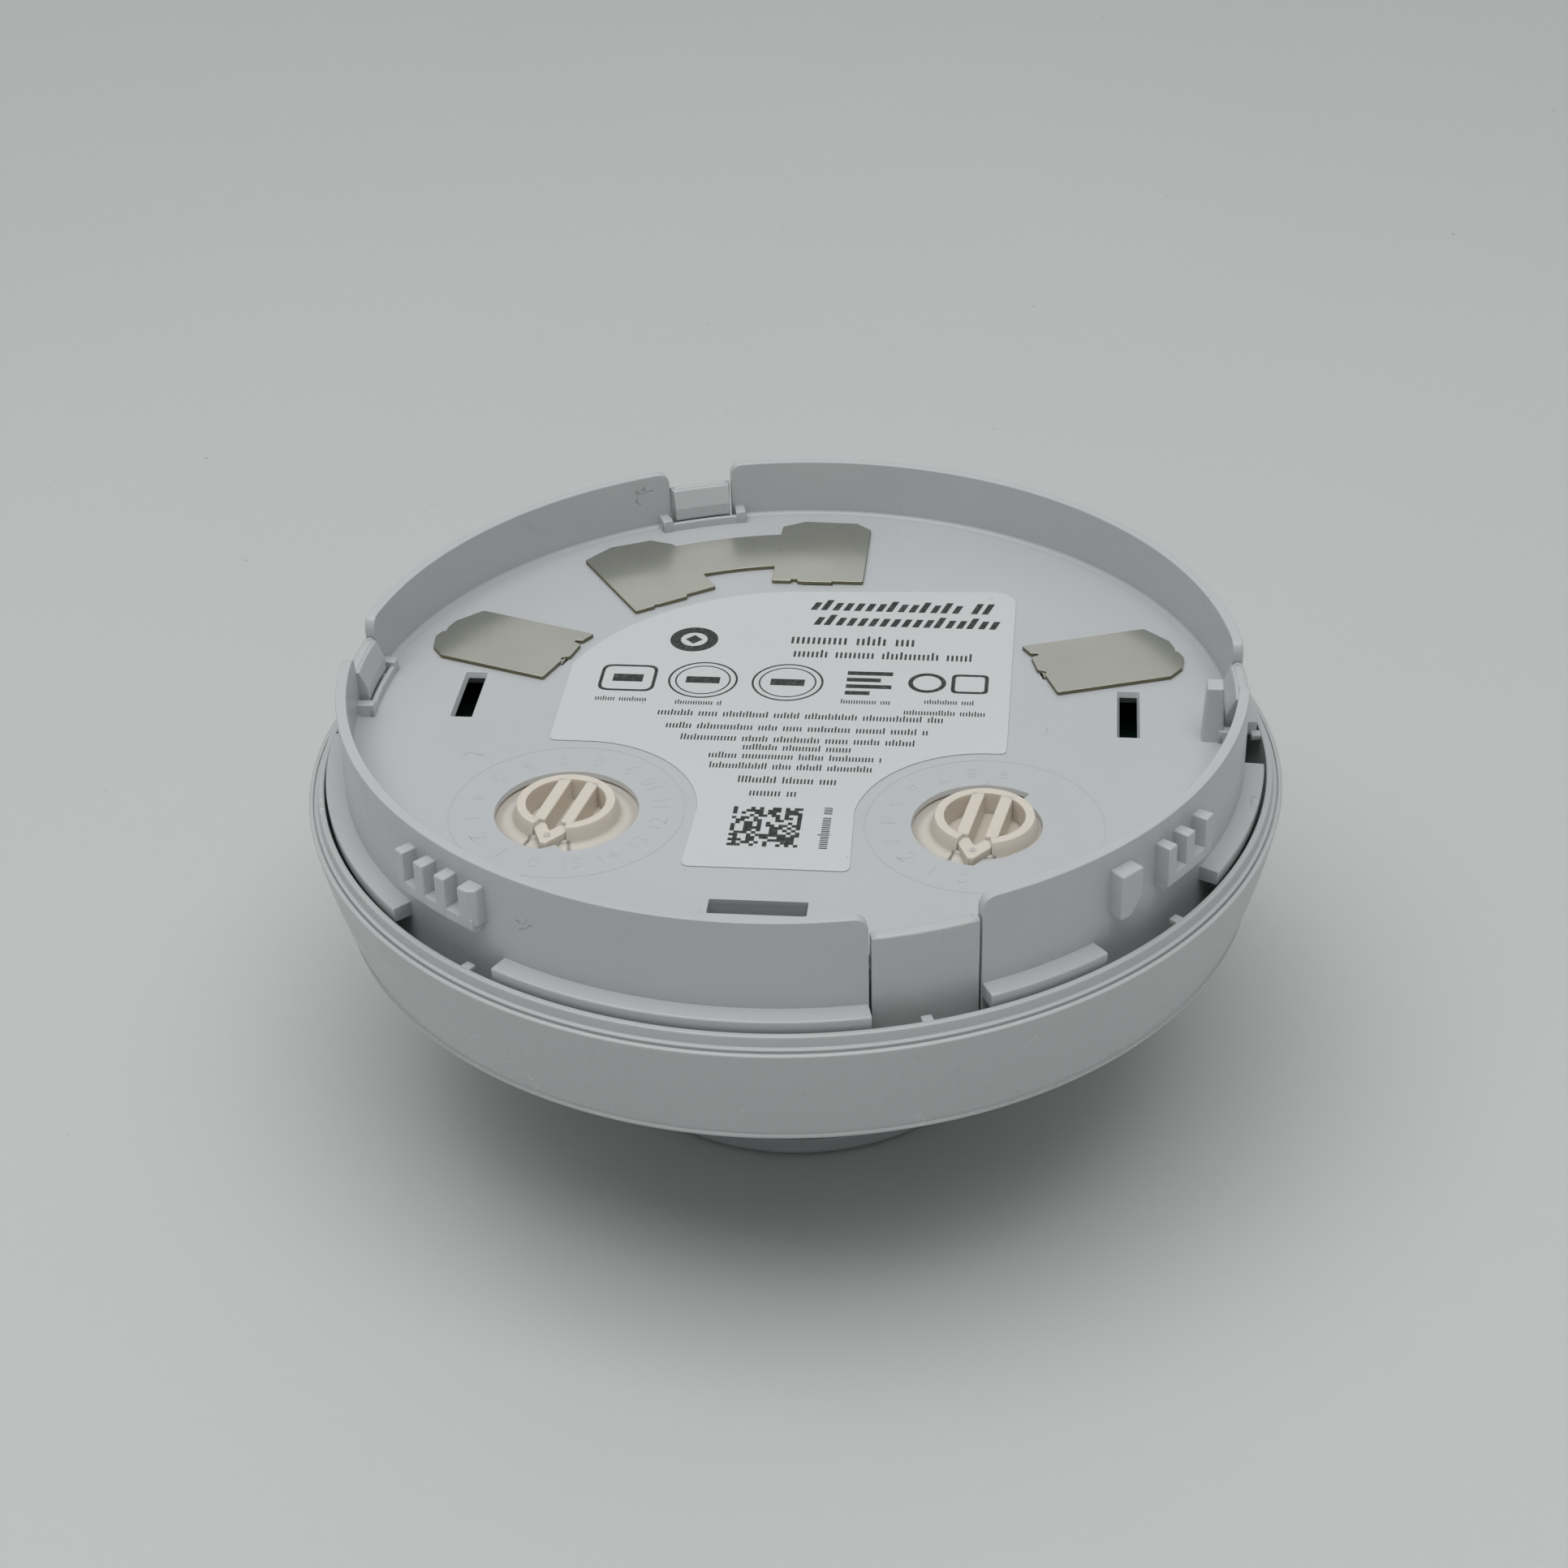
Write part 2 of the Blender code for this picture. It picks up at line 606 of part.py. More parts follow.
def make_components(mats):
    below = BOARD_BOTTOM - GAP
    chip = box("chip", (7.5, 10.0, 2.0), (-12.0, -14.0, below - 1.0))
    as_part(chip, "microcontroller", mats["black_plastic"])
    bridge = box("bridge", (6.0, 4.6, 2.5), (12.0, -10.0, below - 1.25))
    as_part(bridge, "rectifier", mats["black_plastic"])
    large = cylinder("large", 4.0, below - 8.0, below, (18.0, -24.0))
    as_part(large, "capacitor_large", mats["capacitor"])
    small = cylinder("small", 2.5, below - 6.0, below, (6.0, -24.0))
    as_part(small, "capacitor_small", mats["capacitor"])
    reed = rod("reed", (-22.0, -30.0, below - 1.6), (-8.0, -30.0, below - 1.6), 1.3)
    as_part(reed, "reed_switch", mats["glass"])
    for name, x, y in LIGHT_PIPES:
        lamp = turned("lamp", [(0.0, below), (1.9, below), (1.9, below - 1.0), (1.5, below - 1.0),
                               (1.5, below - 3.6), (1.0, below - 4.4), (0.0, below - 4.8)], 16, (x, y))
        as_part(lamp, "led_" + name, mats["led"])
        pipe = cylinder("pipe", PIPE_RADIUS, 18.4, below - 5.1, (x, y), 20)
        as_part(pipe, "light_pipe_" + name, mats["clear"])


def make_materials():
    return {
        "housing": material("housing_plastic", (0.78, 0.80, 0.80), 0.45),
        "cover": material("cover_plastic", (0.80, 0.81, 0.81), 0.35),
        "dial": material("dial_plastic", (0.80, 0.74, 0.64), 0.45),
        "contact": material("contact_metal", (0.62, 0.61, 0.57), 0.35, 1.0),
        "label": material("label_film", (0.84, 0.85, 0.84), 0.30),
        "board": material("board_laminate", (0.05, 0.22, 0.10), 0.5),
        "steel": material("steel", (0.62, 0.62, 0.62), 0.35, 1.0),
        "bronze": material("spring_bronze", (0.66, 0.47, 0.24), 0.3, 1.0),
        "bead": material("thermistor_bead", (0.10, 0.12, 0.16), 0.35),
        "sleeve": material("sleeve_plastic", (0.72, 0.72, 0.70), 0.5),
        "black_plastic": material("component_plastic", (0.03, 0.03, 0.03), 0.5),
        "capacitor": material("capacitor_sleeve", (0.06, 0.07, 0.12), 0.4),
        "glass": material("reed_glass", (0.55, 0.75, 0.60), 0.1, 0.0, 0.5),
        "led": material("led_lens", (0.75, 0.10, 0.08), 0.2),
        "clear": material("clear_plastic", (0.88, 0.90, 0.90), 0.1, 0.0, 0.4),
    }


def build():
    mats = make_materials()
    make_chassis(mats["housing"])
    for side in ("left", "right"):
        make_side_contact(side, mats["contact"])
    make_rear_contact(mats["contact"])
    make_label(mats["label"])
    for which, x in (("tens", -DIAL_X), ("ones", DIAL_X)):
        make_dial(which, x, mats["dial"])
        make_wiper(which, x, mats["bronze"])
    make_cover(mats["cover"])
    make_nose_cage(mats["cover"])
    for name, middle, width in TABS:
        make_tab(name, middle, width, mats["cover"])
    make_board(mats["board"])
    make_board_screws(mats["steel"])
    make_thermistor(mats["bead"])
    make_sleeve(mats["sleeve"])
    make_components(mats)


clear_scene()
parts = new_collection("heat_detector")
cutters = new_collection("cutters")
build()
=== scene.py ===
"""Looks of a point heat detector head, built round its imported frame.

Blender 4.5 script. Sizes are in millimetres until a mesh is finished, when they
become metres. The head stands on its nose with its mounting side up. Angles
are degrees about +Z from +X, and heights are above the nose face.
"""
import json
import math
import random

import bmesh
import bpy
from mathutils import Matrix, Vector

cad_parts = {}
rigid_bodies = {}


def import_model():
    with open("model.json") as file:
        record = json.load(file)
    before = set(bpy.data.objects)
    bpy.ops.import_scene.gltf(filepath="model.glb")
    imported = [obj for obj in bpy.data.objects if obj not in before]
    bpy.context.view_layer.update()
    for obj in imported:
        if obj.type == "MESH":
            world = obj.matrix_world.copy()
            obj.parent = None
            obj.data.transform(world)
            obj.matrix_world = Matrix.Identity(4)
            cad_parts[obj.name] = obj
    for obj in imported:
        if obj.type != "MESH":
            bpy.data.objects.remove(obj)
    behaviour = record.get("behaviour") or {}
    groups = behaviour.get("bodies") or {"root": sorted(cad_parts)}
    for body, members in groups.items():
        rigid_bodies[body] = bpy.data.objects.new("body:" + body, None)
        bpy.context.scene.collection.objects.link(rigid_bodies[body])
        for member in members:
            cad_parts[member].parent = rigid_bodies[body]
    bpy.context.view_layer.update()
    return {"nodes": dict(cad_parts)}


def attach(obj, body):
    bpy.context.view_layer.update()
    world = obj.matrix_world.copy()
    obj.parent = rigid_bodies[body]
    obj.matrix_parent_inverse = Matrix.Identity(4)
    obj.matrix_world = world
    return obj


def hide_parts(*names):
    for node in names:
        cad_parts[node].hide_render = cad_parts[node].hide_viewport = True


MM = 0.001
TURN_STEP = 1.5
SHARP_ANGLE = 50.0

# Heights
COLLAR_TOP = 48.2
PLATE_TOP = 41.6
PLATE_WEB = 41.0
PLATE_BOTTOM = 39.8
FLANGE_TOP = 38.7
FLANGE_BOTTOM = 37.1
WALL_BOTTOM = 32.2
RIM_TOP = 37.7

# Radii
COLLAR_OUTER = 46.5
COLLAR_INNER = 45.4
FLANGE_OUTER = 48.5
SKIRT_OUTER = 50.5
SKIRT_FOOT = 47.4

# Release tabs: name, middle angle and width of the slot
TABS = (("front", -69.4, 13.2), ("right", 2.6, 9.6), ("rear", 109.1, 9.2), ("left", 177.4, 9.6))
TAB_FOOT = 28.9
TAB_TOP = 46.0
TAB_SLIT = 0.22

# Angles from start to end of what stands out of the collar, and where the cover's stops stand
FLANGES = ((-120.0, -76.1), (-62.7, -47.5), (-26.9, -2.3), (7.4, 42.5),
           (60.0, 104.5), (113.7, 132.0), (149.0, 172.6), (182.2, 223.2))
LEFT_RIBS = ((-135.7, -134.2), (-132.1, -130.4), (-128.4, -126.7), (-124.6, -122.3))
RIGHT_RIBS = ((-37.5, -36.0), (-34.0, -32.4), (-29.9, -28.2))
LONE_RIB = (-45.3, -42.0)
NUBS = (-123.7, -70.0, -35.8, 6.9, 51.0, 109.1, 140.5, 177.4)

# Locking ribs on the collar and the bar under them
RIB_INNER = 46.1
RIB_OUTER = 48.15
RIB_LOW = 42.0
RIB_TOP = 46.1
BAR_LOW = 41.15
BAR_TOP = 42.9

# Centre x, centre y, width and depth of the plate's slots and of the keying post
SLOTS = ((-34.55, 2.15, 2.3, 9.1), (34.55, 2.1, 2.3, 9.1), (0.0, -34.75, 9.4, 2.3))
POST = (43.0, -1.65, 1.7, 2.1)
POST_TOP = 47.8
POST_DRAFT = (1.32, 1.10)

# Centres of the bosses under the plate and, on each side, of the light pipes' holes
BOSSES = ((-37.5, -9.5), (37.5, -9.5), (11.0, 36.0))
PIPE_X = 31.0
PIPE_Y = -14.5
PIPE_HOLE = 1.75

# Address dials: centre, rest angle of the pointer, steps, degrees a step
DIALS = {"tens": ((-20.6, -19.4), -101.25, 16, 22.5), "ones": ((20.6, -19.4), -100.0, 10, 20.0)}
DIAL_OPENING = 7.15
DIAL_NARROW = 5.65
DIAL_LINE = 11.7
DIGIT_CIRCLE = 9.45
POINTER_TOP = 42.3
POINTER_FALL = 0.12

# Camera: distance from the axis, height above the collar, and how it is turned
CAMERA_HEADING = 6.3
CAMERA_DISTANCE = 253.05
CAMERA_RISE = 147.22
CAMERA_PITCH = 32.68
CAMERA_YAW = -0.262
CAMERA_ROLL = -1.644
CAMERA_LENS = 65.54


# ---------------------------------------------------------------- outlines

def polar(radius, degrees, centre=(0.0, 0.0)):
    angle = math.radians(degrees)
    return (centre[0] + radius * math.cos(angle), centre[1] + radius * math.sin(angle))


def arc(radius, start, end, centre=(0.0, 0.0), step=2.5):
    """Points along a circle from one angle to another."""
    count = max(2, int(math.ceil(abs(end - start) / step)) + 1)
    return [polar(radius, start + (end - start) * i / (count - 1), centre) for i in range(count)]


def rectangle(x, y, width, depth, turn=0.0):
    """Corners of a rectangle about its centre."""
    angle = math.radians(turn)
    corners = []
    for u, v in ((-0.5, -0.5), (0.5, -0.5), (0.5, 0.5), (-0.5, 0.5)):
        dx, dy = u * width, v * depth
        corners.append((x + dx * math.cos(angle) - dy * math.sin(angle),
                        y + dx * math.sin(angle) + dy * math.cos(angle)))
    return corners


def soften(points, radius, steps=4, closed=True):
    """Round an outline's corners; radius is one number or one for each corner."""
    count = len(points)
    radii = radius if isinstance(radius, (list, tuple)) else [radius] * count
    result = []
    for i, place in enumerate(points):
        corner = Vector(place)
        before = Vector(points[i - 1]) - corner
        after = Vector(points[(i + 1) % count]) - corner
        at_end = not closed and i in (0, count - 1)
        if radii[i] <= 0.0 or at_end or before.length < 1e-6 or after.length < 1e-6:
            result.append(tuple(corner))
            continue
        half = 0.5 * before.angle(after)
        if half > math.radians(84.0):
            result.append(tuple(corner))
            continue
        reach = min(radii[i] / math.tan(half), 0.46 * before.length, 0.46 * after.length)
        first = corner + before.normalized() * reach
        last = corner + after.normalized() * reach
        for k in range(steps + 1):
            s = k / steps
            result.append(tuple(first * (1 - s) ** 2 + corner * 2 * s * (1 - s) + last * s * s))
    return result


# ---------------------------------------------------------------- solids

def extruded(loops, low, high):
    """Solid between two heights; the first loop is its rim and the others are holes."""
    shape = bmesh.new()
    for loop in loops:
        verts = [shape.verts.new((x, y, low)) for x, y in loop]
        for i, vert in enumerate(verts):
            shape.edges.new((verts[i - 1], vert))
    if len(loops) == 1:
        shape.faces.new(verts)
    else:
        bmesh.ops.triangle_fill(shape, use_beauty=True, use_dissolve=False, edges=shape.edges[:])
    made = bmesh.ops.extrude_face_region(shape, geom=shape.faces[:])
    lifted = [item for item in made["geom"] if isinstance(item, bmesh.types.BMVert)]
    bmesh.ops.translate(shape, vec=(0.0, 0.0, high - low), verts=lifted)
    bmesh.ops.recalc_face_normals(shape, faces=shape.faces)
    return shape


def swept(section, start=0.0, end=360.0, step=TURN_STEP):
    """Solid with one section of radius and height, carried round the axis."""
    full = end - start >= 359.9
    count = max(2, int(math.ceil((end - start) / step)))
    shape = bmesh.new()
    rings = []
    for i in range(count if full else count + 1):
        angle = math.radians(start + (end - start) * i / count)
        rings.append([shape.verts.new((r * math.cos(angle), r * math.sin(angle), z))
                      for r, z in section])
    open_profile = section[0][0] == 0.0 and section[-1][0] == 0.0
    along = range(len(section) - 1) if open_profile else range(len(section))
    for i in range(len(rings) if full else len(rings) - 1):
        ring, following = rings[i], rings[(i + 1) % len(rings)]
        for k in along:
            n = (k + 1) % len(section)
            shape.faces.new((ring[k], following[k], following[n], ring[n]))
    if not full:
        shape.faces.new(rings[0])
        shape.faces.new(rings[-1][::-1])
    bmesh.ops.remove_doubles(shape, verts=shape.verts[:], dist=0.0001)
    bmesh.ops.recalc_face_normals(shape, faces=shape.faces)
    return shape


def round_edges(shape, size, steps=2, angle=38.0, only=None):
    """Round the sharp edges, or those of them that only() picks."""
    edges = []
    for edge in shape.edges:
        if len(edge.link_faces) == 2 and edge.calc_face_angle(0.0) > math.radians(angle):
            if only is None or only(edge):
                edges.append(edge)
    bmesh.ops.bevel(shape, geom=edges, offset=size, offset_type="OFFSET", segments=steps,
                    profile=0.5, affect="EDGES", clamp_overlap=True)
    return shape


def near_top(height):
    """A test that picks edges at or above a height."""
    return lambda edge: min(vert.co.z for vert in edge.verts) > height - 0.01


def wrap(shape, middle, radius):
    """Bend a flat solid round the axis: x is the arc, y the height, z the distance from the axis."""
    low = min(vert.co.x for vert in shape.verts)
    high = max(vert.co.x for vert in shape.verts)
    step = math.radians(TURN_STEP) * radius
    for i in range(1, int((high - low) / step) + 1):
        everything = shape.verts[:] + shape.edges[:] + shape.faces[:]
        bmesh.ops.bisect_plane(shape, geom=everything, dist=0.0001,
                               plane_co=(low + i * step, 0.0, 0.0), plane_no=(1.0, 0.0, 0.0))
    for vert in shape.verts:
        along, height, out = vert.co
        angle = math.radians(middle) + along / radius
        vert.co = (out * math.cos(angle), out * math.sin(angle), height)
    return shape


def block(x, y, width, depth, low, high, turn=0.0, corner=0.0):
    outline = rectangle(x, y, width, depth, turn)
    return extruded([soften(outline, corner, 3) if corner else outline], low, high)


def moved(shape, centre, turn):
    """Turn a solid about +Z and move it to a centre."""
    rotation = Matrix.Rotation(math.radians(turn), 4, "Z")
    place = Matrix.Translation((centre[0], centre[1], 0.0)) @ rotation
    bmesh.ops.transform(shape, matrix=place, verts=shape.verts)
    return shape


def joined(shapes):
    """One mesh of several solids."""
    together = bmesh.new()
    for shape in shapes:
        mesh = bpy.data.meshes.new("part")
        shape.to_mesh(mesh)
        shape.free()
        together.from_mesh(mesh)
        bpy.data.meshes.remove(mesh)
    return together


def piece(name, shape, mat, body, slot, *replaced):
    """Finish a solid as a named piece that rides on a body and stands for CAD nodes."""
    bmesh.ops.scale(shape, vec=(MM, MM, MM), verts=shape.verts)
    mesh = bpy.data.meshes.new(name)
    shape.to_mesh(mesh)
    shape.free()
    for finish in mat if isinstance(mat, tuple) else (mat,):
        mesh.materials.append(finish)
    mesh.shade_smooth()
    mesh.set_sharp_from_angle(angle=math.radians(SHARP_ANGLE))
    obj = bpy.data.objects.new(name, mesh)
    bpy.context.scene.collection.objects.link(obj)
    normals = obj.modifiers.new("weighted", "WEIGHTED_NORMAL")
    normals.keep_sharp = True
    normals.weight = 80
    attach(obj, body)
    if replaced:
        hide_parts(*replaced)
    return obj


# ---------------------------------------------------------------- materials

class Nodes:
    """A small helper that builds one material's node tree."""

    def __init__(self, name):
        self.mat = bpy.data.materials.new(name)
        self.mat.use_nodes = True
        self.tree = self.mat.node_tree
        self.shader = self.tree.nodes["Principled BSDF"]
        self.place = self.add("ShaderNodeTexCoord").outputs["Object"]

    def add(self, kind, **settings):
        node = self.tree.nodes.new(kind)
        for key, value in settings.items():
            setattr(node, key, value)
        return node

    def link(self, source, target):
        self.tree.links.new(source, target)

    def noise(self, scale, detail=3.0, stretch=None, roughness=0.55):
        place = self.place
        if stretch:
            mapping = self.add("ShaderNodeMapping")
            mapping.inputs["Scale"].default_value = stretch
            self.link(place, mapping.inputs["Vector"])
            place = mapping.outputs["Vector"]
        node = self.add("ShaderNodeTexNoise")
        node.inputs["Scale"].default_value = scale
        node.inputs["Detail"].default_value = detail
        node.inputs["Roughness"].default_value = roughness
        self.link(place, node.inputs["Vector"])
        return node.outputs["Fac"]

    def remap(self, value, low, high, to_low, to_high):
        node = self.add("ShaderNodeMapRange")
        limits = {"From Min": low, "From Max": high, "To Min": to_low, "To Max": to_high}
        for name, number in limits.items():
            node.inputs[name].default_value = number
        self.link(value, node.inputs["Value"])
        return node.outputs["Result"]

    def math(self, operation, first, second):
        node = self.add("ShaderNodeMath", operation=operation)
        for socket, value in zip(node.inputs, (first, second)):
            if isinstance(value, (int, float)):
                socket.default_value = value
            else:
                self.link(value, socket)
        return node.outputs["Value"]

    def mix(self, factor, first, second):
        node = self.add("ShaderNodeMix", data_type="RGBA")
        sockets = (node.inputs[0], node.inputs[6], node.inputs[7])
        for socket, value in zip(sockets, (factor, first, second)):
            if isinstance(value, (int, float)):
                socket.default_value = value
            elif isinstance(value, tuple):
                socket.default_value = (*value, 1.0)
            else:
                self.link(value, socket)
        return node.outputs[2]

    def bump(self, height, strength, distance, below=None):
        node = self.add("ShaderNodeBump")
        node.inputs["Strength"].default_value = strength
        node.inputs["Distance"].default_value = distance
        self.link(height, node.inputs["Height"])
        if below is not None:
            self.link(below, node.inputs["Normal"])
        return node.outputs["Normal"]

    def fibres(self, cell, share, width=0.022):
        """Sparse short bent marks of even width, as lint or fine scratches leave."""
        drift = self.add("ShaderNodeTexNoise")
        drift.inputs["Scale"].default_value = 500.0
        self.link(self.place, drift.inputs["Vector"])
        bent = self.add("ShaderNodeVectorMath", operation="MULTIPLY_ADD")
        self.link(drift.outputs["Color"], bent.inputs[0])
        bent.inputs[1].default_value = (0.0018, 0.0018, 0.0018)
        self.link(self.place, bent.inputs[2])
        borders = self.add("ShaderNodeTexVoronoi", feature="DISTANCE_TO_EDGE")
        borders.inputs["Scale"].default_value = cell * 2.2
        self.link(bent.outputs["Vector"], borders.inputs["Vector"])
        line = self.remap(borders.outputs["Distance"], width * 0.5, width, 1.0, 0.0)
        cells = self.add("ShaderNodeTexVoronoi")
        cells.inputs["Scale"].default_value = cell
        self.link(self.place, cells.inputs["Vector"])
        split = self.add("ShaderNodeSeparateColor")
        self.link(cells.outputs["Color"], split.inputs["Color"])
        chosen = self.math("GREATER_THAN", split.outputs["Red"], 1.0 - share)
        near = self.math("LESS_THAN", cells.outputs["Distance"], 0.24)
        return self.math("MULTIPLY", self.math("MULTIPLY", line, chosen), near)


def plastic(name, color, roughness, grain=0.03, marks=0.03, glow=0.0, tint=(0.62, 0.58, 0.50),
            lint_tone=0.35):
    """Moulded plastic: spark-eroded grain, slow colour drift, fine rubbed lines, a few fibres."""
    n = Nodes(name)
    drift = n.noise(45.0, 3.0)
    base = n.mix(n.remap(drift, 0.35, 0.65, 0.0, 1.0), tuple(0.975 * c for c in color), color)
    flow = n.noise(160.0, 2.0, (1.0, 1.0, 0.2))
    base = n.mix(n.remap(flow, 0.55, 0.85, 0.0, 0.05), base, tint)
    lint = n.fibres(190.0, marks)
    base = n.mix(n.math("MULTIPLY", lint, 0.6), base, tuple(lint_tone * c for c in color))
    specks = n.remap(n.noise(2600.0, 1.0), 0.79, 0.81, 0.0, 0.5)
    base = n.mix(specks, base, (0.30, 0.27, 0.22))
    n.link(base, n.shader.inputs["Base Color"])
    rub = n.noise(420.0, 4.0, (1.0, 0.18, 1.0))
    cloudy = n.noise(70.0, 2.0)
    rough = n.math("ADD", n.remap(rub, 0.3, 0.7, roughness - 0.05, roughness + 0.05),
                   n.remap(cloudy, 0.3, 0.7, -0.02, 0.04))
    n.link(rough, n.shader.inputs["Roughness"])
    fine = n.bump(n.noise(5200.0, 2.0), grain, 0.00004)
    wavy = n.bump(n.noise(60.0, 2.0), 0.06, 0.0004, fine)
    n.link(n.bump(lint, 0.12, 0.00003, wavy), n.shader.inputs["Normal"])
    if glow:
        n.shader.inputs["Subsurface Weight"].default_value = glow
        n.shader.inputs["Subsurface Radius"].default_value = (1.0, 0.75, 0.55)
        n.shader.inputs["Subsurface Scale"].default_value = 0.0011
    n.shader.inputs["IOR"].default_value = 1.53
    return n.mat


def metal(name, color, roughness):
    """Rolled and plated sheet: faint grain, handling smudges that dull it, a few small spots."""
    n = Nodes(name)
    smudge = n.noise(85.0, 3.0)
    base = n.mix(n.remap(smudge, 0.35, 0.7, 0.0, 1.0), color, tuple(0.92 * c for c in color))
    spots = n.remap(n.noise(520.0, 2.0), 0.72, 0.78, 0.0, 0.35)
    base = n.mix(spots, base, tuple(0.6 * c for c in color))
    n.link(base, n.shader.inputs["Base Color"])
    n.shader.inputs["Metallic"].default_value = 1.0
    grain = n.noise(1100.0, 2.0, (1.0, 0.3, 1.0))
    rough = n.math("ADD", n.remap(grain, 0.3, 0.7, roughness - 0.015, roughness + 0.015),
                   n.remap(smudge, 0.3, 0.7, -0.03, 0.07))
    n.link(rough, n.shader.inputs["Roughness"])
    lines = n.bump(grain, 0.02, 0.00002)
    n.link(n.bump(n.noise(120.0, 2.0), 0.05, 0.0003, lines), n.shader.inputs["Normal"])
    return n.mat


def film(name, color, roughness):
    """Printed label stock under a satin laminate, a little wavy and dusty."""
    n = Nodes(name)
    drift = n.remap(n.noise(80.0, 2.0), 0.35, 0.65, 0.0, 1.0)
    base = n.mix(drift, color, tuple(0.985 * c for c in color))
    base = n.mix(n.remap(n.noise(1100.0, 1.0), 0.76, 0.80, 0.0, 0.45), base, (0.35, 0.35, 0.33))
    n.link(base, n.shader.inputs["Base Color"])
    n.link(n.remap(n.noise(260.0, 3.0), 0.3, 0.7, roughness - 0.04, roughness + 0.05),
           n.shader.inputs["Roughness"])
    paper = n.bump(n.noise(2600.0, 2.0), 0.03, 0.00003)
    n.link(n.bump(n.noise(130.0, 2.0), 0.05, 0.0003, paper), n.shader.inputs["Normal"])
    return n.mat


def ink(name, color):
    """Thermal print: dense, with small thin places."""
    n = Nodes(name)
    thin = n.remap(n.noise(3200.0, 2.0), 0.5, 0.78, 0.0, 0.5)
    n.link(n.mix(thin, color, (0.22, 0.22, 0.22)), n.shader.inputs["Base Color"])
    n.link(n.remap(n.noise(1500.0, 2.0), 0.3, 0.7, 0.34, 0.46), n.shader.inputs["Roughness"])
    return n.mat


def laminate(name):
    """Green solder mask with faint tracks and pads."""
    n = Nodes(name)
    weave = n.noise(900.0, 2.0, (1.0, 4.0, 1.0))
    base = n.mix(n.remap(weave, 0.3, 0.7, 0.0, 1.0), (0.0015, 0.008, 0.005), (0.0022, 0.012, 0.007))
    brick = n.add("ShaderNodeTexBrick")
    brick.inputs["Scale"].default_value = 260.0
    brick.inputs["Mortar Size"].default_value = 0.06
    n.link(n.place, brick.inputs["Vector"])
    base = n.mix(n.math("MULTIPLY", brick.outputs["Fac"], 0.45), base, (0.006, 0.028, 0.016))
    n.link(base, n.shader.inputs["Base Color"])
    n.link(n.remap(n.noise(400.0, 2.0), 0.3, 0.7, 0.30, 0.45), n.shader.inputs["Roughness"])
    n.link(n.bump(brick.outputs["Fac"], 0.2, 0.00003), n.shader.inputs["Normal"])
    return n.mat


def clear(name, color, roughness):
    """Clear moulding or glass with faint flow lines."""
    n = Nodes(name)
    n.shader.inputs["Transmission Weight"].default_value = 0.85
    n.shader.inputs["IOR"].default_value = 1.49
    base = n.mix(n.noise(120.0, 2.0), color, tuple(0.92 * c for c in color))
    n.link(base, n.shader.inputs["Base Color"])
    rough = n.remap(n.noise(600.0, 2.0), 0.3, 0.7, roughness, roughness + 0.08)
    n.link(rough, n.shader.inputs["Roughness"])
    return n.mat


def make_materials():
    return {
        "housing": plastic("housing_plastic", (0.525, 0.540, 0.555), 0.32, marks=0.07, glow=0.06),
        "cover": plastic("cover_plastic", (0.525, 0.537, 0.545), 0.30, grain=0.02, marks=0.12, glow=0.06,
                         lint_tone=1.5),
        # Nose: the cover's white plastic painted darker, as painted shade for the nose that sits under the
        # cover's overhang
        "nose": plastic("nose_plastic_painted_shade", (0.38, 0.39, 0.40), 0.32, grain=0.02, marks=0.03, glow=0.06),
        "dial": plastic("dial_plastic", (0.71, 0.655, 0.575), 0.42, marks=0.0, glow=0.35),
        "sleeve": plastic("sleeve_plastic", (0.62, 0.62, 0.60), 0.45),
        "black": plastic("component_plastic", (0.022, 0.022, 0.024), 0.45, grain=0.08,
                         tint=(0.05, 0.05, 0.05)),
        "capacitor": plastic("capacitor_sleeve", (0.03, 0.035, 0.07), 0.30, tint=(0.1, 0.1, 0.12)),
        "bead": plastic("bead_coating", (0.05, 0.06, 0.09), 0.28, grain=0.10, tint=(0.1, 0.1, 0.1)),
        "contact": metal("contact_nickel", (0.67, 0.66, 0.59), 0.20),
        # Contact side faces: dark brown, partly the bare sheared metal and partly painted shade of the gap
        # under the raised contact
        "sheared": metal("sheared_edge_and_painted_shade", (0.22, 0.205, 0.14), 0.45),
        "steel": metal("zinc_steel", (0.58, 0.58, 0.60), 0.32),
        "bronze": metal("spring_bronze", (0.62, 0.42, 0.20), 0.30),
        "label": film("label_film", (0.61, 0.63, 0.635), 0.34),
        "ink": ink("print_ink", (0.012, 0.014, 0.013)),
        "board": laminate("board_laminate"),
        "led": clear("led_lens", (0.80, 0.10, 0.08), 0.12),
        "glass": clear("reed_glass", (0.55, 0.78, 0.62), 0.04),
        "clear": clear("clear_plastic", (0.90, 0.92, 0.92), 0.08),
    }


# ---------------------------------------------------------------- rear housing

def plate_outline():
    """The back plate's rim runs into the collar and steps in at each tab slot."""
    outline = []
    for i, (_, middle, width) in enumerate(TABS):
        following = TABS[(i + 1) % len(TABS)]
        start = middle + 0.5 * width
        end = following[1] - 0.5 * following[2]
        if end < start:
            end += 360.0
        outline += arc(45.0, middle - 0.5 * width, start - 0.05)
        outline += arc(45.7, start + 0.05, end - 0.05)
    return outline


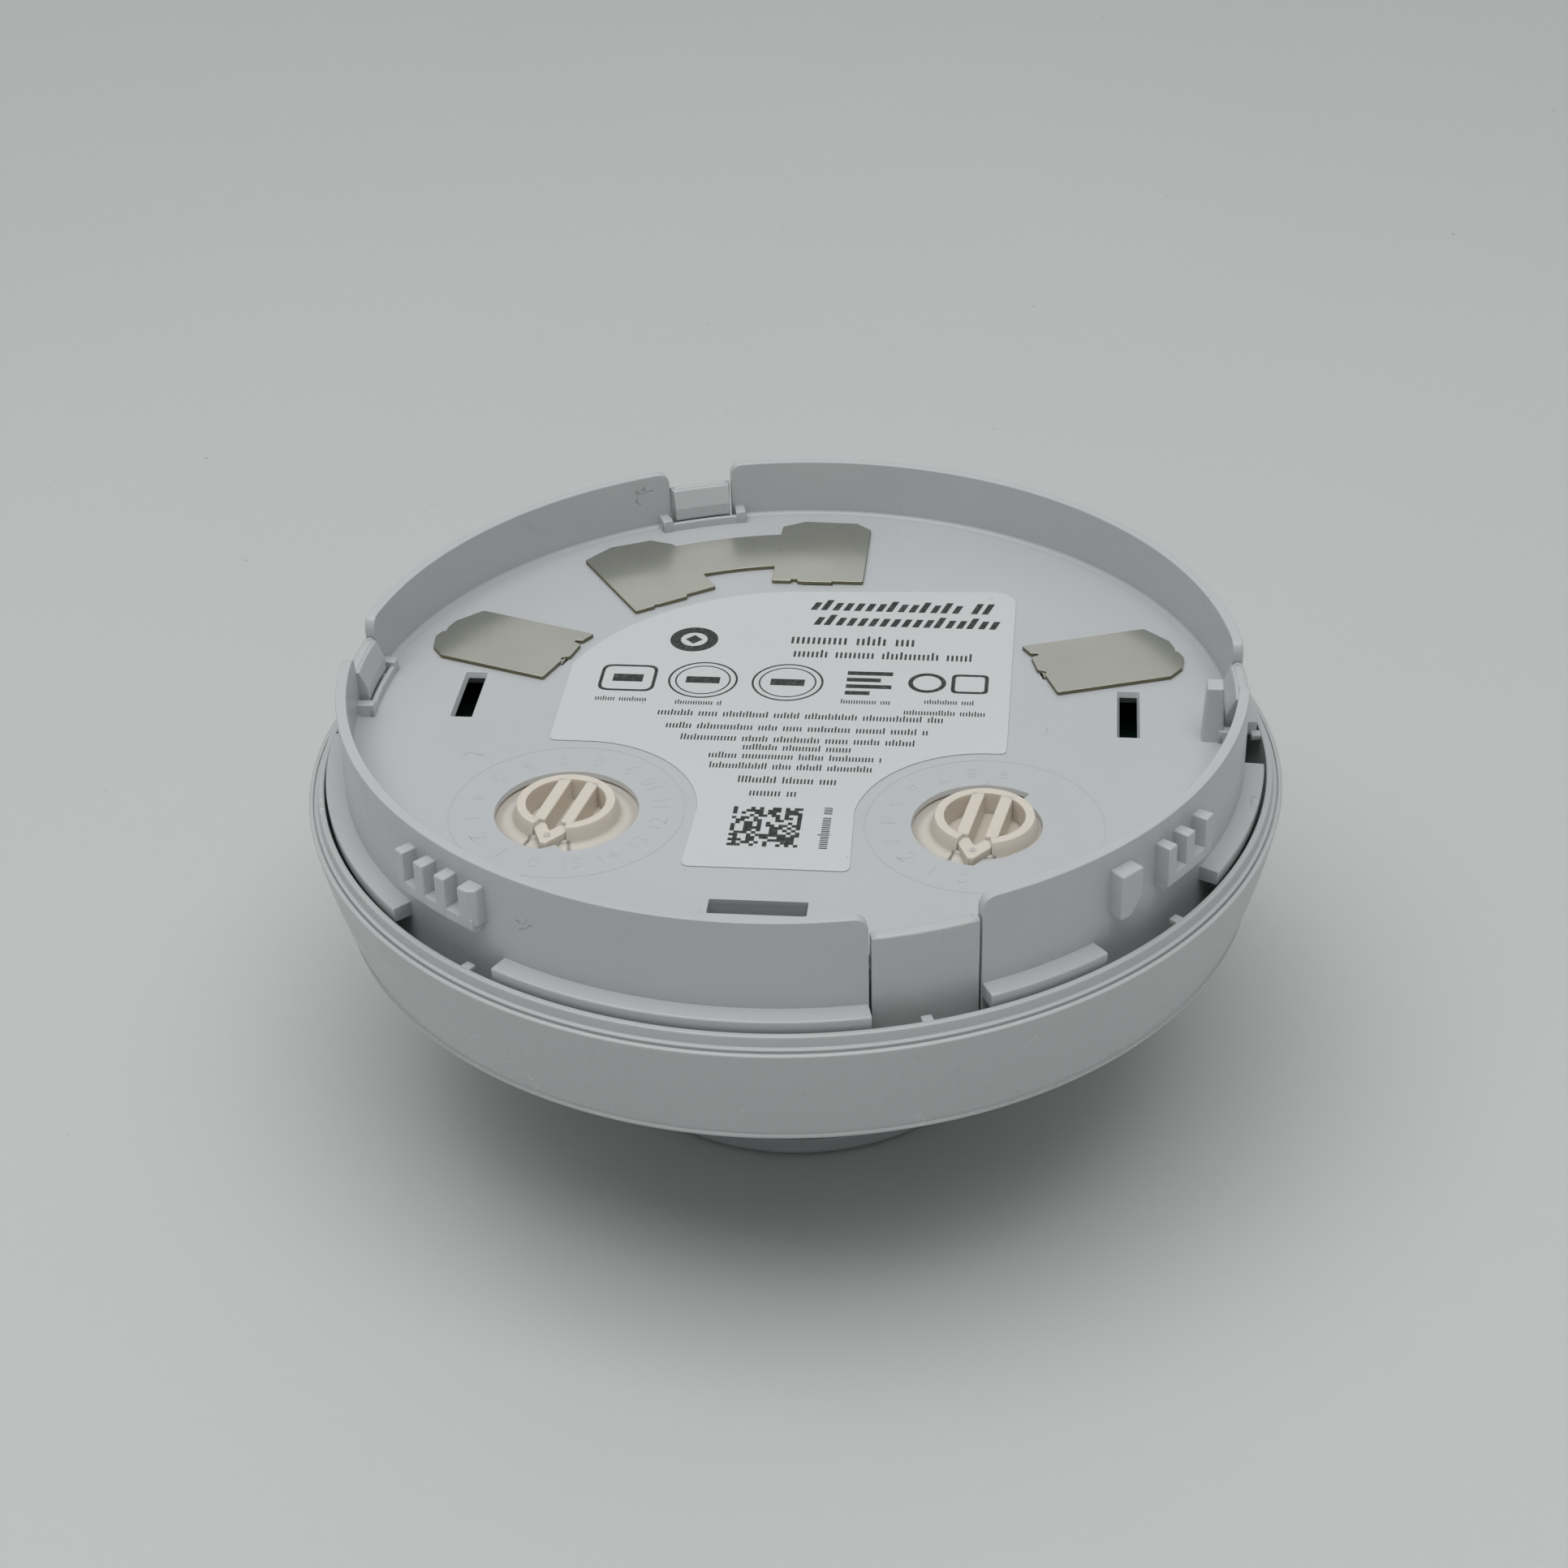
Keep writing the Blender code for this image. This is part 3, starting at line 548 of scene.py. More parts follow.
def opening_loop(which, web):
    """One dial's opening; the web layer narrows it or carries a pointed tooth."""
    centre = DIALS[which][0]
    if not web:
        return arc(8.2, 0.0, 354.0, centre, 6.0)
    if which == "tens":
        loop = arc(DIAL_OPENING, -84.0, 255.0, centre, 4.0)
        points = ((DIAL_OPENING, -103.5), (6.0, -90.5), (DIAL_OPENING, -85.5))
        tooth = [polar(radius, angle, centre) for radius, angle in points]
        return loop + soften(tooth, [0.0, 0.3, 0.0], 3, closed=False)
    wide = arc(DIAL_OPENING, 54.0, 263.5, centre, 4.0)
    between = arc(DIAL_NARROW + 0.3, -89.0, -70.0, centre, 4.0)
    return wide + between + arc(DIAL_NARROW, -50.0, 53.5, centre, 4.0)


def tail_spots():
    """Where the contacts' tails go down through the plate: x, y and turn."""
    return [(25.5, 10.4, 18.0), (-25.5, 10.4, 162.0), (0.0, 28.3, 90.0), (-16.2, 23.3, 123.0)]


def plate_layers():
    """Web layer and body of the back plate, with slots, dial openings and tail slots."""
    layers = []
    for web, low, high in ((True, PLATE_WEB - 0.02, PLATE_TOP), (False, PLATE_BOTTOM, PLATE_WEB)):
        loops = [plate_outline()]
        for x, y, width, depth in SLOTS:
            spread = 0.0 if web or x == 0.0 else 1.6
            loops.append(soften(rectangle(x, y, width + spread, depth + spread), 0.12, 2))
        loops += [opening_loop(which, web) for which in DIALS]
        loops += [rectangle(x, y, 0.8, 3.4, turn) for x, y, turn in tail_spots()]
        layer = extruded(loops, low, high)
        if web:
            round_edges(layer, 0.09, 2, only=near_top(PLATE_TOP))
            for vert in layer.verts:
                if vert.co.z < PLATE_WEB:
                    taper_slot(vert)
        layers.append(layer)
    return layers


def taper_slot(vert):
    """Draw a vertex of a side slot's lower edge in, for the draft of its walls."""
    for x, y, width, depth in SLOTS:
        along, across = vert.co.x - x, vert.co.y - y
        if x != 0.0 and abs(along) < 0.5 * width + 0.02 and abs(across) < 0.5 * depth + 0.02:
            vert.co.x = x + along * (1.0 - 0.5 / width)
            vert.co.y = y + across * (1.0 - 0.4 / depth)
            return


def collar_walls():
    """Four wall segments between the tab slots, with rounded upper corners."""
    walls = []
    for i, (_, middle, width) in enumerate(TABS):
        following = TABS[(i + 1) % len(TABS)]
        start = middle + 0.5 * width
        end = following[1] - 0.5 * following[2]
        if end < start:
            end += 360.0
        half = 0.5 * math.radians(end - start) * COLLAR_OUTER
        outline = [(-half, WALL_BOTTOM), (half, WALL_BOTTOM), (half, COLLAR_TOP), (-half, COLLAR_TOP)]
        wall = extruded([soften(outline, [0.4, 0.4, 1.5, 1.5], 6)], COLLAR_INNER, COLLAR_OUTER)
        round_edges(wall, 0.12, 3)
        walls.append(wrap(wall, 0.5 * (start + end), COLLAR_OUTER))
        fillet = [(44.8, 41.45), (44.8, 41.6)]
        fillet += [(44.8 + 0.65 * math.sin(a), 42.25 - 0.65 * math.cos(a))
                   for a in (math.radians(10.0 * k) for k in range(1, 10))]
        fillet += [(45.7, 42.25), (45.7, 41.45)]
        walls.append(swept(fillet, start + 0.2, end - 0.2))
    return walls


def flanges():
    """Segments that stand out of the collar just above the cover's rim."""
    outline = [(46.2, FLANGE_BOTTOM), (FLANGE_OUTER - 0.1, FLANGE_BOTTOM),
               (FLANGE_OUTER, FLANGE_TOP), (46.2, FLANGE_TOP + 0.05)]
    section = soften(outline, [0.0, 0.15, 0.22, 0.0], 3)
    made = []
    for start, end in FLANGES:
        made.append(round_edges(swept(section, start, end), 0.16, 2, 60.0))
    return made


def rib(start, end, chamfer=0.0):
    """Upright rib on the collar; chamfer cuts its outer corner at the end angle."""
    plan = [polar(RIB_INNER, start), polar(RIB_OUTER, start), polar(RIB_OUTER, end - chamfer)]
    if chamfer:
        plan.append(polar(47.55, end))
    plan.append(polar(RIB_INNER, end))
    return round_edges(extruded([plan], RIB_LOW, RIB_TOP), 0.2, 3, 30.0)


def lug_bar(start, end):
    """Bar that joins the feet of a group of ribs."""
    section = [(RIB_INNER, BAR_LOW), (47.55, BAR_LOW), (48.1, 41.75), (48.1, BAR_TOP),
               (RIB_INNER, BAR_TOP)]
    return round_edges(swept(section, start, end), 0.16, 2, 30.0)


def lugs():
    """Groups of locking ribs round the collar and the lone rib at the front."""
    made = []
    for turn in (0.0, -178.3, -88.8):
        for i, (start, end) in enumerate(LEFT_RIBS):
            made.append(rib(start + turn, end + turn, chamfer=0.9 if i == 3 else 0.0))
        made.append(lug_bar(LEFT_RIBS[0][0] + turn + 0.05, LEFT_RIBS[3][1] + turn - 0.4))
    for start, end in RIGHT_RIBS:
        made.append(rib(start, end))
    made.append(lug_bar(RIGHT_RIBS[0][0] + 0.05, RIGHT_RIBS[2][1] - 0.05))
    width = math.radians(LONE_RIB[1] - LONE_RIB[0]) * RIB_OUTER
    face = [(0.0, BAR_LOW), (0.45 * width, BAR_LOW), (width, BAR_TOP), (width, RIB_TOP),
            (0.0, RIB_TOP)]
    lone = round_edges(extruded([face], RIB_INNER, RIB_OUTER), 0.22, 3, 25.0)
    made.append(wrap(lone, LONE_RIB[0], RIB_OUTER))
    return made


def curbs():
    """Low U-shaped wall on the plate in front of each tab."""
    made = []
    for _, middle, width in TABS:
        half = 0.5 * width + 1.8
        front = [(43.6, 41.5), (44.25, 41.5), (44.2, 42.5), (43.65, 42.5)]
        made.append(round_edges(swept(front, middle - half, middle + half), 0.12, 2))
        leg = [(43.6, 41.5), (45.6, 41.5), (45.6, 43.0), (43.65, 43.0)]
        for side in (-1.0, 1.0):
            start, end = sorted((middle + side * half, middle + side * (half - 1.5)))
            made.append(round_edges(swept(leg, start, end, 0.75), 0.12, 2))
    return made


def dial_scales():
    """Raised line and raised digits round each dial."""
    made = []
    for centre, rest, count, pitch in DIALS.values():
        line = [(DIAL_LINE - 0.09, PLATE_TOP - 0.05), (DIAL_LINE + 0.09, PLATE_TOP - 0.05),
                (DIAL_LINE + 0.07, PLATE_TOP + 0.025), (DIAL_LINE - 0.07, PLATE_TOP + 0.025)]
        made.append(moved(swept(line, step=3.0), centre, 0.0))
        for number in range(count):
            angle = rest - pitch * number
            made.append(digits(str(number), polar(DIGIT_CIRCLE, angle, centre), angle + 90.0))
    return made


def digits(text, spot, turn):
    """Raised figures, their heads towards the dial."""
    curve = bpy.data.curves.new("digits", "FONT")
    curve.body = text
    curve.size = 2.5
    curve.align_x = "CENTER"
    curve.align_y = "CENTER"
    curve.extrude = 0.016
    curve.offset = -0.04
    curve.resolution_u = 3
    source = bpy.data.objects.new("digits", curve)
    bpy.context.scene.collection.objects.link(source)
    bpy.context.view_layer.update()
    mesh = bpy.data.meshes.new_from_object(source.evaluated_get(bpy.context.evaluated_depsgraph_get()))
    shape = bmesh.new()
    shape.from_mesh(mesh)
    bmesh.ops.remove_doubles(shape, verts=shape.verts[:], dist=0.0005)
    bmesh.ops.recalc_face_normals(shape, faces=shape.faces)
    bpy.data.objects.remove(source)
    bpy.data.meshes.remove(mesh)
    moved(shape, spot, turn)
    bmesh.ops.translate(shape, vec=(0.0, 0.0, PLATE_TOP), verts=shape.verts)
    return shape


def make_chassis(mats):
    """Back plate, collar and all that is moulded with them."""
    shapes = plate_layers() + collar_walls() + flanges() + lugs() + curbs() + dial_scales()
    x, y, width, depth = POST
    post = block(x, y, width, depth, PLATE_TOP - 0.1, POST_TOP, corner=0.25)
    for vert in post.verts:
        if vert.co.z < PLATE_TOP:
            vert.co.x = x + (vert.co.x - x) * POST_DRAFT[0]
            vert.co.y = y + (vert.co.y - y) * POST_DRAFT[1]
    shapes.append(round_edges(post, 0.38, 3, only=near_top(POST_TOP)))
    for spot in BOSSES:
        boss = [(1.4, 37.1), (3.0, 37.1), (3.0, 40.0), (1.4, 40.0)]
        shapes.append(moved(swept(boss, step=12.0), spot, 0.0))
    return piece("housing_back", joined(shapes), mats["housing"], "housing", "housing", "chassis")


# ---------------------------------------------------------------- contacts and label

CONTACT_LOW = 41.62
CONTACT_HIGH = 42.05
SIDE_CONTACT = (
    (23.2, 14.8), (24.2, 13.3), (24.9, 13.35), (25.05, 13.0), (24.6, 12.7), (24.3, 12.5),
    (25.0, 9.9), (25.7, 9.7), (25.95, 9.4), (25.8, 9.0), (27.2, 5.4), (39.0, 9.4), (40.2, 11.2),
    (40.4, 13.4), (39.9, 14.5), (39.5, 14.6), (39.45, 15.4), (38.9, 16.8), (36.2, 19.3))
REAR_RIGHT_LOBE = (
    (-5.1, 30.2), (-5.1, 28.0), (-3.0, 28.0), (-2.85, 28.45), (-2.35, 28.45), (-2.2, 27.9),
    (1.6, 27.9), (1.7, 28.15), (5.1, 28.15), (5.1, 40.6), (3.4, 42.1), (-2.6, 42.3), (-5.1, 40.9))
REAR_LEFT_LOBE = (
    (5.0, 39.6), (3.2, 41.7), (-1.5, 42.4), (-5.3, 41.0), (-5.3, 27.4), (-3.0, 27.4),
    (-2.8, 27.75), (-2.3, 27.6), (1.1, 27.6), (1.3, 28.1), (2.0, 28.1), (4.9, 28.1), (4.9, 30.4))
REAR_LOBE_TURN = 33.0


def contact_plate(outline, tails):
    """Sheared sheet with a tail down to the board at each spot."""
    sheet = round_edges(extruded([outline], CONTACT_LOW, CONTACT_HIGH), 0.05, 2, 30.0)
    # Side faces take the dark edge finish, which is sheared metal plus painted shade of the gap under the
    # contact
    for face in sheet.faces:
        face.material_index = 1 if abs(face.normal.z) < 0.5 else 0
    shapes = [sheet]
    for x, y, turn in tails:
        shapes.append(round_edges(block(x, y, 0.5, 3.2, 37.1, CONTACT_HIGH - 0.15, turn), 0.1, 2))
    return joined(shapes)


def make_contacts(mats):
    finish = (mats["contact"], mats["sheared"])
    radii = [0.15] + [0.12] * 9 + [0.25, 0.5, 0.4, 0.4] + [0.12] * 3 + [0.4, 0.5]
    for side, sign in (("right", 1.0), ("left", -1.0)):
        outline = soften([(sign * x, y) for x, y in SIDE_CONTACT], radii, 3)
        spot = [s for s in tail_spots() if abs(s[0]) > 20.0 and s[0] * sign > 0.0]
        piece("contact_plate_" + side, contact_plate(outline, spot), finish, "housing", "contact",
              "contact_" + side)
    turn = math.radians(REAR_LOBE_TURN)
    left = [(x * math.cos(turn) - y * math.sin(turn), x * math.sin(turn) + y * math.cos(turn))
            for x, y in REAR_LEFT_LOBE]
    outline = soften(REAR_RIGHT_LOBE, 0.22, 3) + arc(39.3, 97.5, 115.5)
    outline += soften(left, 0.22, 3) + arc(31.8, 114.0, 99.3)
    piece("contact_plate_rear", contact_plate(outline, tail_spots()[2:]), finish, "housing", "contact",
          "contact_rear")


def label_outline():
    """Sticker between the contacts, cut back round both dials."""
    clear_of_dial = 12.9
    right, left = DIALS["ones"][0], DIALS["tens"][0]
    half_foot = 8.1
    foot_turn = 6.0
    shoulder = right[1] + clear_of_dial
    outline = soften([(-half_foot, -20.0), (-half_foot, -28.4), (half_foot, -28.4), (half_foot, -20.0)],
                     0.8, 5, closed=False)[1:-1]
    outline += arc(clear_of_dial, 180.0 - foot_turn, 92.0, right)
    outline += soften([(20.6, shoulder), (22.3, shoulder), (22.3, 20.0)], 0.8, 4, closed=False)[1:-1]
    outline += arc(2.6, 0.0, 90.0, (19.7, 24.6), 9.0) + arc(26.2, 97.0, 160.0)
    outline += soften([(-24.6, 8.0), (-24.6, shoulder), (-20.6, shoulder)], 0.8, 4, closed=False)[1:-1]
    outline += arc(clear_of_dial, 88.0, foot_turn, left)
    return outline


LABEL_LOW = PLATE_TOP + 0.01
LABEL_HIGH = PLATE_TOP + 0.12
INK_LOW = LABEL_HIGH - 0.005
INK_HIGH = LABEL_HIGH + 0.012

# Rows of plain strokes that stand for small print: y, from x, to x, height
PRINT_ROWS = (
    (-0.4, -14.0, 15.5, 1.15), (-2.9, -12.8, 14.2, 1.15), (-5.1, -11.0, 13.0, 1.15),
    (-6.7, -4.4, 6.5, 1.1), (-8.4, -7.7, 9.7, 1.1), (-10.3, -7.4, 9.0, 1.1),
    (-12.8, -4.2, 5.5, 1.2), (-15.2, -2.8, 2.0, 1.2),
    (2.0, -21.0, -15.5, 0.9), (1.7, -12.5, -7.7, 0.9), (2.8, 4.8, 10.0, 0.9), (3.2, 13.5, 18.7, 0.9),
    (1.0, 11.5, 20.0, 1.0), (15.5, -1.5, 12.0, 1.9), (12.5, -1.0, 18.0, 1.6))


def ink_block(x, y, width, height, turn=0.0, slant=0.0):
    """Flat printed rectangle, leaning by slant."""
    outline = rectangle(x, y, width, height, turn)
    return extruded([[(u + slant * (v - y), v) for u, v in outline]], INK_LOW, INK_HIGH)


def print_row(rng, y, start, end, height, slant=0.0, weight=0.14, pitch=0.30):
    """A row of even upright strokes in groups, as grey as a line of print."""
    marks = []
    x = start
    left_in_group = rng.randint(6, 18)
    while x < end:
        tall = height * rng.choice((0.74, 0.74, 0.74, 0.74, 1.0))
        marks.append(ink_block(x, y - 0.5 * (height - tall), weight * height, tall, 0.0, slant))
        x += pitch * height
        left_in_group -= 1
        if left_in_group == 0:
            x += 0.42 * height
            left_in_group = rng.randint(6, 18)
    return marks


def ring_mark(x, y, radius, width):
    """Printed ring."""
    inner = radius - width
    section = [(inner, INK_LOW), (radius, INK_LOW), (radius, INK_HIGH), (inner, INK_HIGH)]
    return moved(swept(section, step=6.0), (x, y), 0.0)


def make_label(mats):
    """Label sheet with plain marks: stroke rows, rings, bars, frames and a grid of squares."""
    shape = round_edges(extruded([label_outline()], LABEL_LOW, LABEL_HIGH), 0.03, 1)
    piece("label_sheet", shape, mats["label"], "housing", "label", "label")
    rng = random.Random(7)
    marks = []
    for row in PRINT_ROWS:
        marks += print_row(rng, *row)
    for y, start, end in ((23.2, 0.4, 19.6), (19.9, 1.0, 20.4)):
        marks += print_row(rng, y, start, end, 2.3, 0.3, 0.30, 0.52)
    marks.append(ring_mark(-12.2, 14.8, 2.6, 1.15))
    marks.append(ink_block(-12.2, 14.8, 1.3, 1.3, 45.0))
    outer = soften(rectangle(-18.2, 6.3, 6.0, 5.4), 1.2)
    inner = soften(rectangle(-18.2, 6.3, 5.3, 4.7), 0.95)
    marks.append(extruded([outer, inner], INK_LOW, INK_HIGH))
    marks.append(ink_block(-18.2, 6.3, 3.2, 1.5))
    for x, radius in ((-10.2, 3.7), (-1.2, 3.8)):
        marks.append(ring_mark(x, 6.3, radius, 0.22))
        marks.append(ring_mark(x, 6.3, radius - 0.75, 0.16))
        marks.append(ink_block(x, 6.3, 3.6, 1.3))
    for k, width in enumerate((4.8, 3.6, 4.8, 2.6)):
        marks.append(ink_block(5.0 + 0.5 * width, 8.6 - 1.35 * k, width, 0.75))
    marks.append(ring_mark(13.5, 7.0, 2.0, 0.5))
    frame_outer = soften(rectangle(18.0, 7.0, 3.9, 3.9), 0.7)
    frame_inner = soften(rectangle(18.0, 7.0, 3.1, 3.1), 0.45)
    marks.append(extruded([frame_outer, frame_inner], INK_LOW, INK_HIGH))
    for row in range(16):
        for column in range(16):
            if rng.random() < 0.52:
                marks.append(ink_block(-3.9 + 0.43 * column, -24.5 + 0.43 * row, 0.43, 0.43))
    upright = print_row(rng, 0.0, -3.7, 3.6, 1.1)
    for mark in upright:
        marks.append(moved(mark, (5.1, -21.0), 90.0))
    piece("label_print", joined(marks), mats["ink"], "housing", "label")


# ---------------------------------------------------------------- dials

def make_dial(which, mats):
    """Flange, drafted ring open at the pointer, two finger bars and a chevron pointer."""
    centre, rest = DIALS[which][:2]
    base = [(0.0, 40.4), (3.9, 40.4), (3.9, 40.7), (7.9, 40.7), (7.9, 39.9), (2.4, 39.9),
            (2.4, 37.1), (0.0, 37.1)]
    shapes = [swept(base, step=5.0)]
    sweep = [(5.28 + 1.72 * (1.0 - math.cos(a)), 41.40 - 0.72 * math.sin(a))
             for a in (math.radians(10.0 * k) for k in range(10))]
    ring = soften([(3.82, 40.3), (3.95, 42.75), (4.85, 42.75)] + sweep + [(7.0, 40.3)],
                  [0.0, 0.1, 0.14] + [0.0] * 11, 4)
    shapes.append(round_edges(swept(ring, 20.0, 340.0, 4.0), 0.1, 2, 60.0))
    sill = [(3.82, 40.3), (3.86, 41.3), (5.2, 41.45)] + sweep + [(7.0, 40.3)]
    shapes.append(swept(sill, -24.0, 24.0, 4.0))
    for side in (-1.0, 1.0):
        bar = block(-0.1, 1.42 * side, 7.4, 1.26, 40.3, 42.74)
        shapes.append(round_edges(bar, 0.13, 3))
    arms = [polar(4.6, 21.5), (4.75, 1.55), (6.55, 0.28), (6.55, -0.28), (4.75, -1.55),
            polar(4.6, -21.5), polar(3.8, -24.0), (3.45, -0.85), (4.75, 0.0), (3.45, 0.85),
            polar(3.8, 24.0)]
    arms = soften(arms, [0.0, 0.1, 0.2, 0.2, 0.1, 0.0, 0.0, 0.1, 0.2, 0.1, 0.0], 3)
    pointer = round_edges(extruded([arms], 40.5, POINTER_TOP), 0.12, 2, 30.0)
    for vert in pointer.verts:
        if vert.co.z > 41.5:
            vert.co.z -= POINTER_FALL * max(0.0, vert.co.x - 4.2)
    shapes.append(pointer)
    gate = [(0.0, 42.2), (0.3, 42.19), (0.36, 42.0), (0.0, 42.0)]
    shapes.append(moved(swept(gate, step=20.0), (5.35, 0.0), 0.0))
    shape = moved(joined(shapes), centre, rest)
    piece("dial_" + which, shape, mats["dial"], which + "_dial", "dial", which + "_dial")


# ---------------------------------------------------------------- cover, nose and tabs

def cover_section():
    """Profile of the cover: stepped rim, skirt, shallow cone, neck and the inside."""
    skirt = []
    for i in range(1, 12):
        along = i / 12.0
        skirt.append((SKIRT_OUTER - (SKIRT_OUTER - SKIRT_FOOT) * (0.62 * along + 0.38 * along * along),
                      36.3 - 11.85 * along))
    rim = [(48.75, 35.0), (48.75, RIM_TOP), (49.4, RIM_TOP), (49.47, 36.56), (49.86, 36.54),
           (49.88, 36.05), (50.02, 36.05), (50.04, 36.33), (SKIRT_OUTER, 36.3), skirt[0]]
    rim = soften(rim, [0.0, 0.18, 0.2, 0.12, 0.06, 0.0, 0.0, 0.05, 0.2, 0.0], 3, closed=False)
    foot = [skirt[-1], (47.57, 24.96), (47.78, 24.82), (47.76, 24.62), (46.4, 23.5), (26.0, 13.9),
            (23.7, 12.9), (23.4, 12.0), (22.1, 12.0), (22.1, 15.4)]
    foot = soften(foot, [0.0, 0.05, 0.05, 0.08, 0.3, 1.5, 0.5, 0.3, 0.2, 0.0], 4, closed=False)
    inside = [(25.0, 15.7), (44.4, 25.0), (45.9, 26.6), (47.65, 32.2), (48.7, 35.0)]
    return rim + skirt[1:-1] + foot + inside[:-1]


def make_cover(mats):
    """Cover with small stops on its rim, drilled for the two light pipes."""
    shapes = [swept(cover_section(), step=1.25)]
    for turn in NUBS:
        nub = [(47.75, 36.95), (49.0, 36.95), (49.0, 37.62), (47.8, 37.62)]
        shapes.append(round_edges(swept(nub, turn - 0.65, turn + 0.65, 0.7), 0.12, 2))
    obj = piece("cover_shell", joined(shapes), mats["cover"], "housing", "cover", "cover")
    cutters = []
    for side in (-1.0, 1.0):
        drill_shape = swept([(0.0, 26.0), (PIPE_HOLE, 26.0), (PIPE_HOLE, 14.5), (0.0, 14.5)], step=12.0)
        hole = moved(drill_shape, (PIPE_X * side, PIPE_Y), 0.0)
        bmesh.ops.scale(hole, vec=(MM, MM, MM), verts=hole.verts)
        mesh = bpy.data.meshes.new("hole")
        hole.to_mesh(mesh)
        hole.free()
        cutter = bpy.data.objects.new("hole", mesh)
        bpy.context.scene.collection.objects.link(cutter)
        cutters.append(cutter)
        drill = obj.modifiers.new("drill", "BOOLEAN")
        drill.object = cutter
        drill.operation = "DIFFERENCE"
    obj.modifiers.move(0, len(obj.modifiers) - 1)
    bpy.context.view_layer.update()
    evaluated = obj.evaluated_get(bpy.context.evaluated_depsgraph_get())
    obj.data = bpy.data.meshes.new_from_object(evaluated)
    obj.modifiers.clear()
    for cutter in cutters:
        bpy.data.objects.remove(cutter)


def make_nose(mats):
    """Flat round nose on twelve ribs, dished inside."""
    nose = [(0.0, 1.6), (17.6, 1.6), (18.4, 2.5), (21.5, 2.5), (21.6, 0.9), (20.7, 0.0), (0.0, 0.0)]
    nose = soften(nose, [0.0, 0.6, 0.3, 0.3, 0.7, 1.0, 0.0], 5, closed=False)
    shapes = [swept(nose, step=2.0)]
    for k in range(12):
        start = 30.0 * k + 11.0
        outer = [(19.2, 2.2), (21.35, 2.2), (21.2, 13.4), (19.4, 13.4)]
        shapes.append(round_edges(swept(outer, start, start + 8.0, 2.0), 0.3, 3))
    # The nose's plastic is painted darker, as painted shade under the cover
    piece("nose_guard", joined(shapes), mats["nose"], "housing", "cover", "nose_cage")


def make_tab(name, middle, width, mats):
    """Spring arm with a rounded head, small mould lips at its corners and an inward hook."""
    slit = math.degrees(TAB_SLIT / COLLAR_OUTER)
    half = 0.5 * width - slit
    arm = [(45.4, TAB_FOOT), (46.5, TAB_FOOT), (46.5, 36.0), (46.42, 39.0), (46.5, 42.5),
           (46.5, TAB_TOP - 0.1), (46.1, TAB_TOP), (45.45, TAB_TOP)]
    arm = soften(arm, [0.1, 0.1, 2.0, 4.0, 2.0, 0.7, 0.1, 0.15], 4)
    shapes = [round_edges(swept(arm, middle - half, middle + half), 0.1, 2, 60.0)]
    hook_half = half - 0.2
    hook = soften([(45.6, 42.5), (45.6, 45.9), (45.2, 45.9), (44.4, 43.9), (44.35, 42.5)],
                  [0.0, 0.0, 0.25, 0.3, 0.1], 3)
    shapes.append(round_edges(swept(hook, middle - hook_half, middle + hook_half), 0.12, 2, 60.0))
    for side in (-1.0, 1.0):
        lip = [(45.6, 45.6), (46.45, 45.5), (46.3, 45.97), (45.7, 46.1)]
        start, end = sorted((middle + side * half, middle + side * (half - 0.6)))
        shapes.append(swept(lip, start, end, 0.3))
    piece("tab_arm_" + name, joined(shapes), mats["cover"], "tab_" + name, "cover", "tab_" + name)


# ---------------------------------------------------------------- inside

def dress_nodes(frame, mats):
    """Give the inner CAD pieces their finishes."""
    finishes = {
        "pcb": "board", "pcb_screw_a": "steel", "pcb_screw_b": "steel", "pcb_screw_c": "steel",
        "tens_wiper": "bronze", "ones_wiper": "bronze", "thermistor": "bead", "thermistor_sleeve": "sleeve",
        "led_a": "led", "led_b": "led", "light_pipe_a": "clear", "light_pipe_b": "clear",
        "reed_switch": "glass", "microcontroller": "black", "rectifier": "black",
        "capacitor_large": "capacitor", "capacitor_small": "capacitor",
    }
    for node, finish in finishes.items():
        obj = frame["nodes"][node]
        obj.data.materials.clear()
        obj.data.materials.append(mats[finish])


# ---------------------------------------------------------------- stage

def make_floor():
    """Pale floor that curves up far behind the head."""
    n = Nodes("floor_paper")
    cloud = n.noise(6.0, 3.0)
    base = n.mix(n.remap(cloud, 0.3, 0.7, 0.0, 1.0), (0.575, 0.592, 0.584), (0.59, 0.607, 0.599))
    specks = n.remap(n.noise(420.0, 1.0), 0.80, 0.83, 0.0, 0.6)
    n.link(n.mix(specks, base, (0.35, 0.33, 0.30)), n.shader.inputs["Base Color"])
    n.link(n.remap(n.noise(500.0, 2.0), 0.3, 0.7, 0.55, 0.68), n.shader.inputs["Roughness"])
    n.link(n.bump(n.noise(1800.0, 2.0), 0.03, 0.00005), n.shader.inputs["Normal"])
    cove = [(0.0, 0.0), (0.8, 0.0)]
    cove += [(0.8 + 0.35 * math.sin(a), 0.35 - 0.35 * math.cos(a))
             for a in (math.radians(9.0 * k) for k in range(1, 11))]
    cove.append((1.2, 1.6))
    shape = bmesh.new()
    rings = []
    for k in range(128):
        angle = math.radians(360.0 * k / 128)
        rings.append([shape.verts.new((r * math.cos(angle), r * math.sin(angle), z)) for r, z in cove])
    for k, ring in enumerate(rings):
        following = rings[k - 1]
        for i in range(len(cove) - 1):
            shape.faces.new((ring[i], following[i], following[i + 1], ring[i + 1]))
    bmesh.ops.remove_doubles(shape, verts=shape.verts[:], dist=0.00001)
    bmesh.ops.recalc_face_normals(shape, faces=shape.faces)
    mesh = bpy.data.meshes.new("floor")
    shape.to_mesh(mesh)
    shape.free()
    mesh.materials.append(n.mat)
    mesh.shade_smooth()
    floor = bpy.data.objects.new("floor", mesh)
    bpy.context.scene.collection.objects.link(floor)


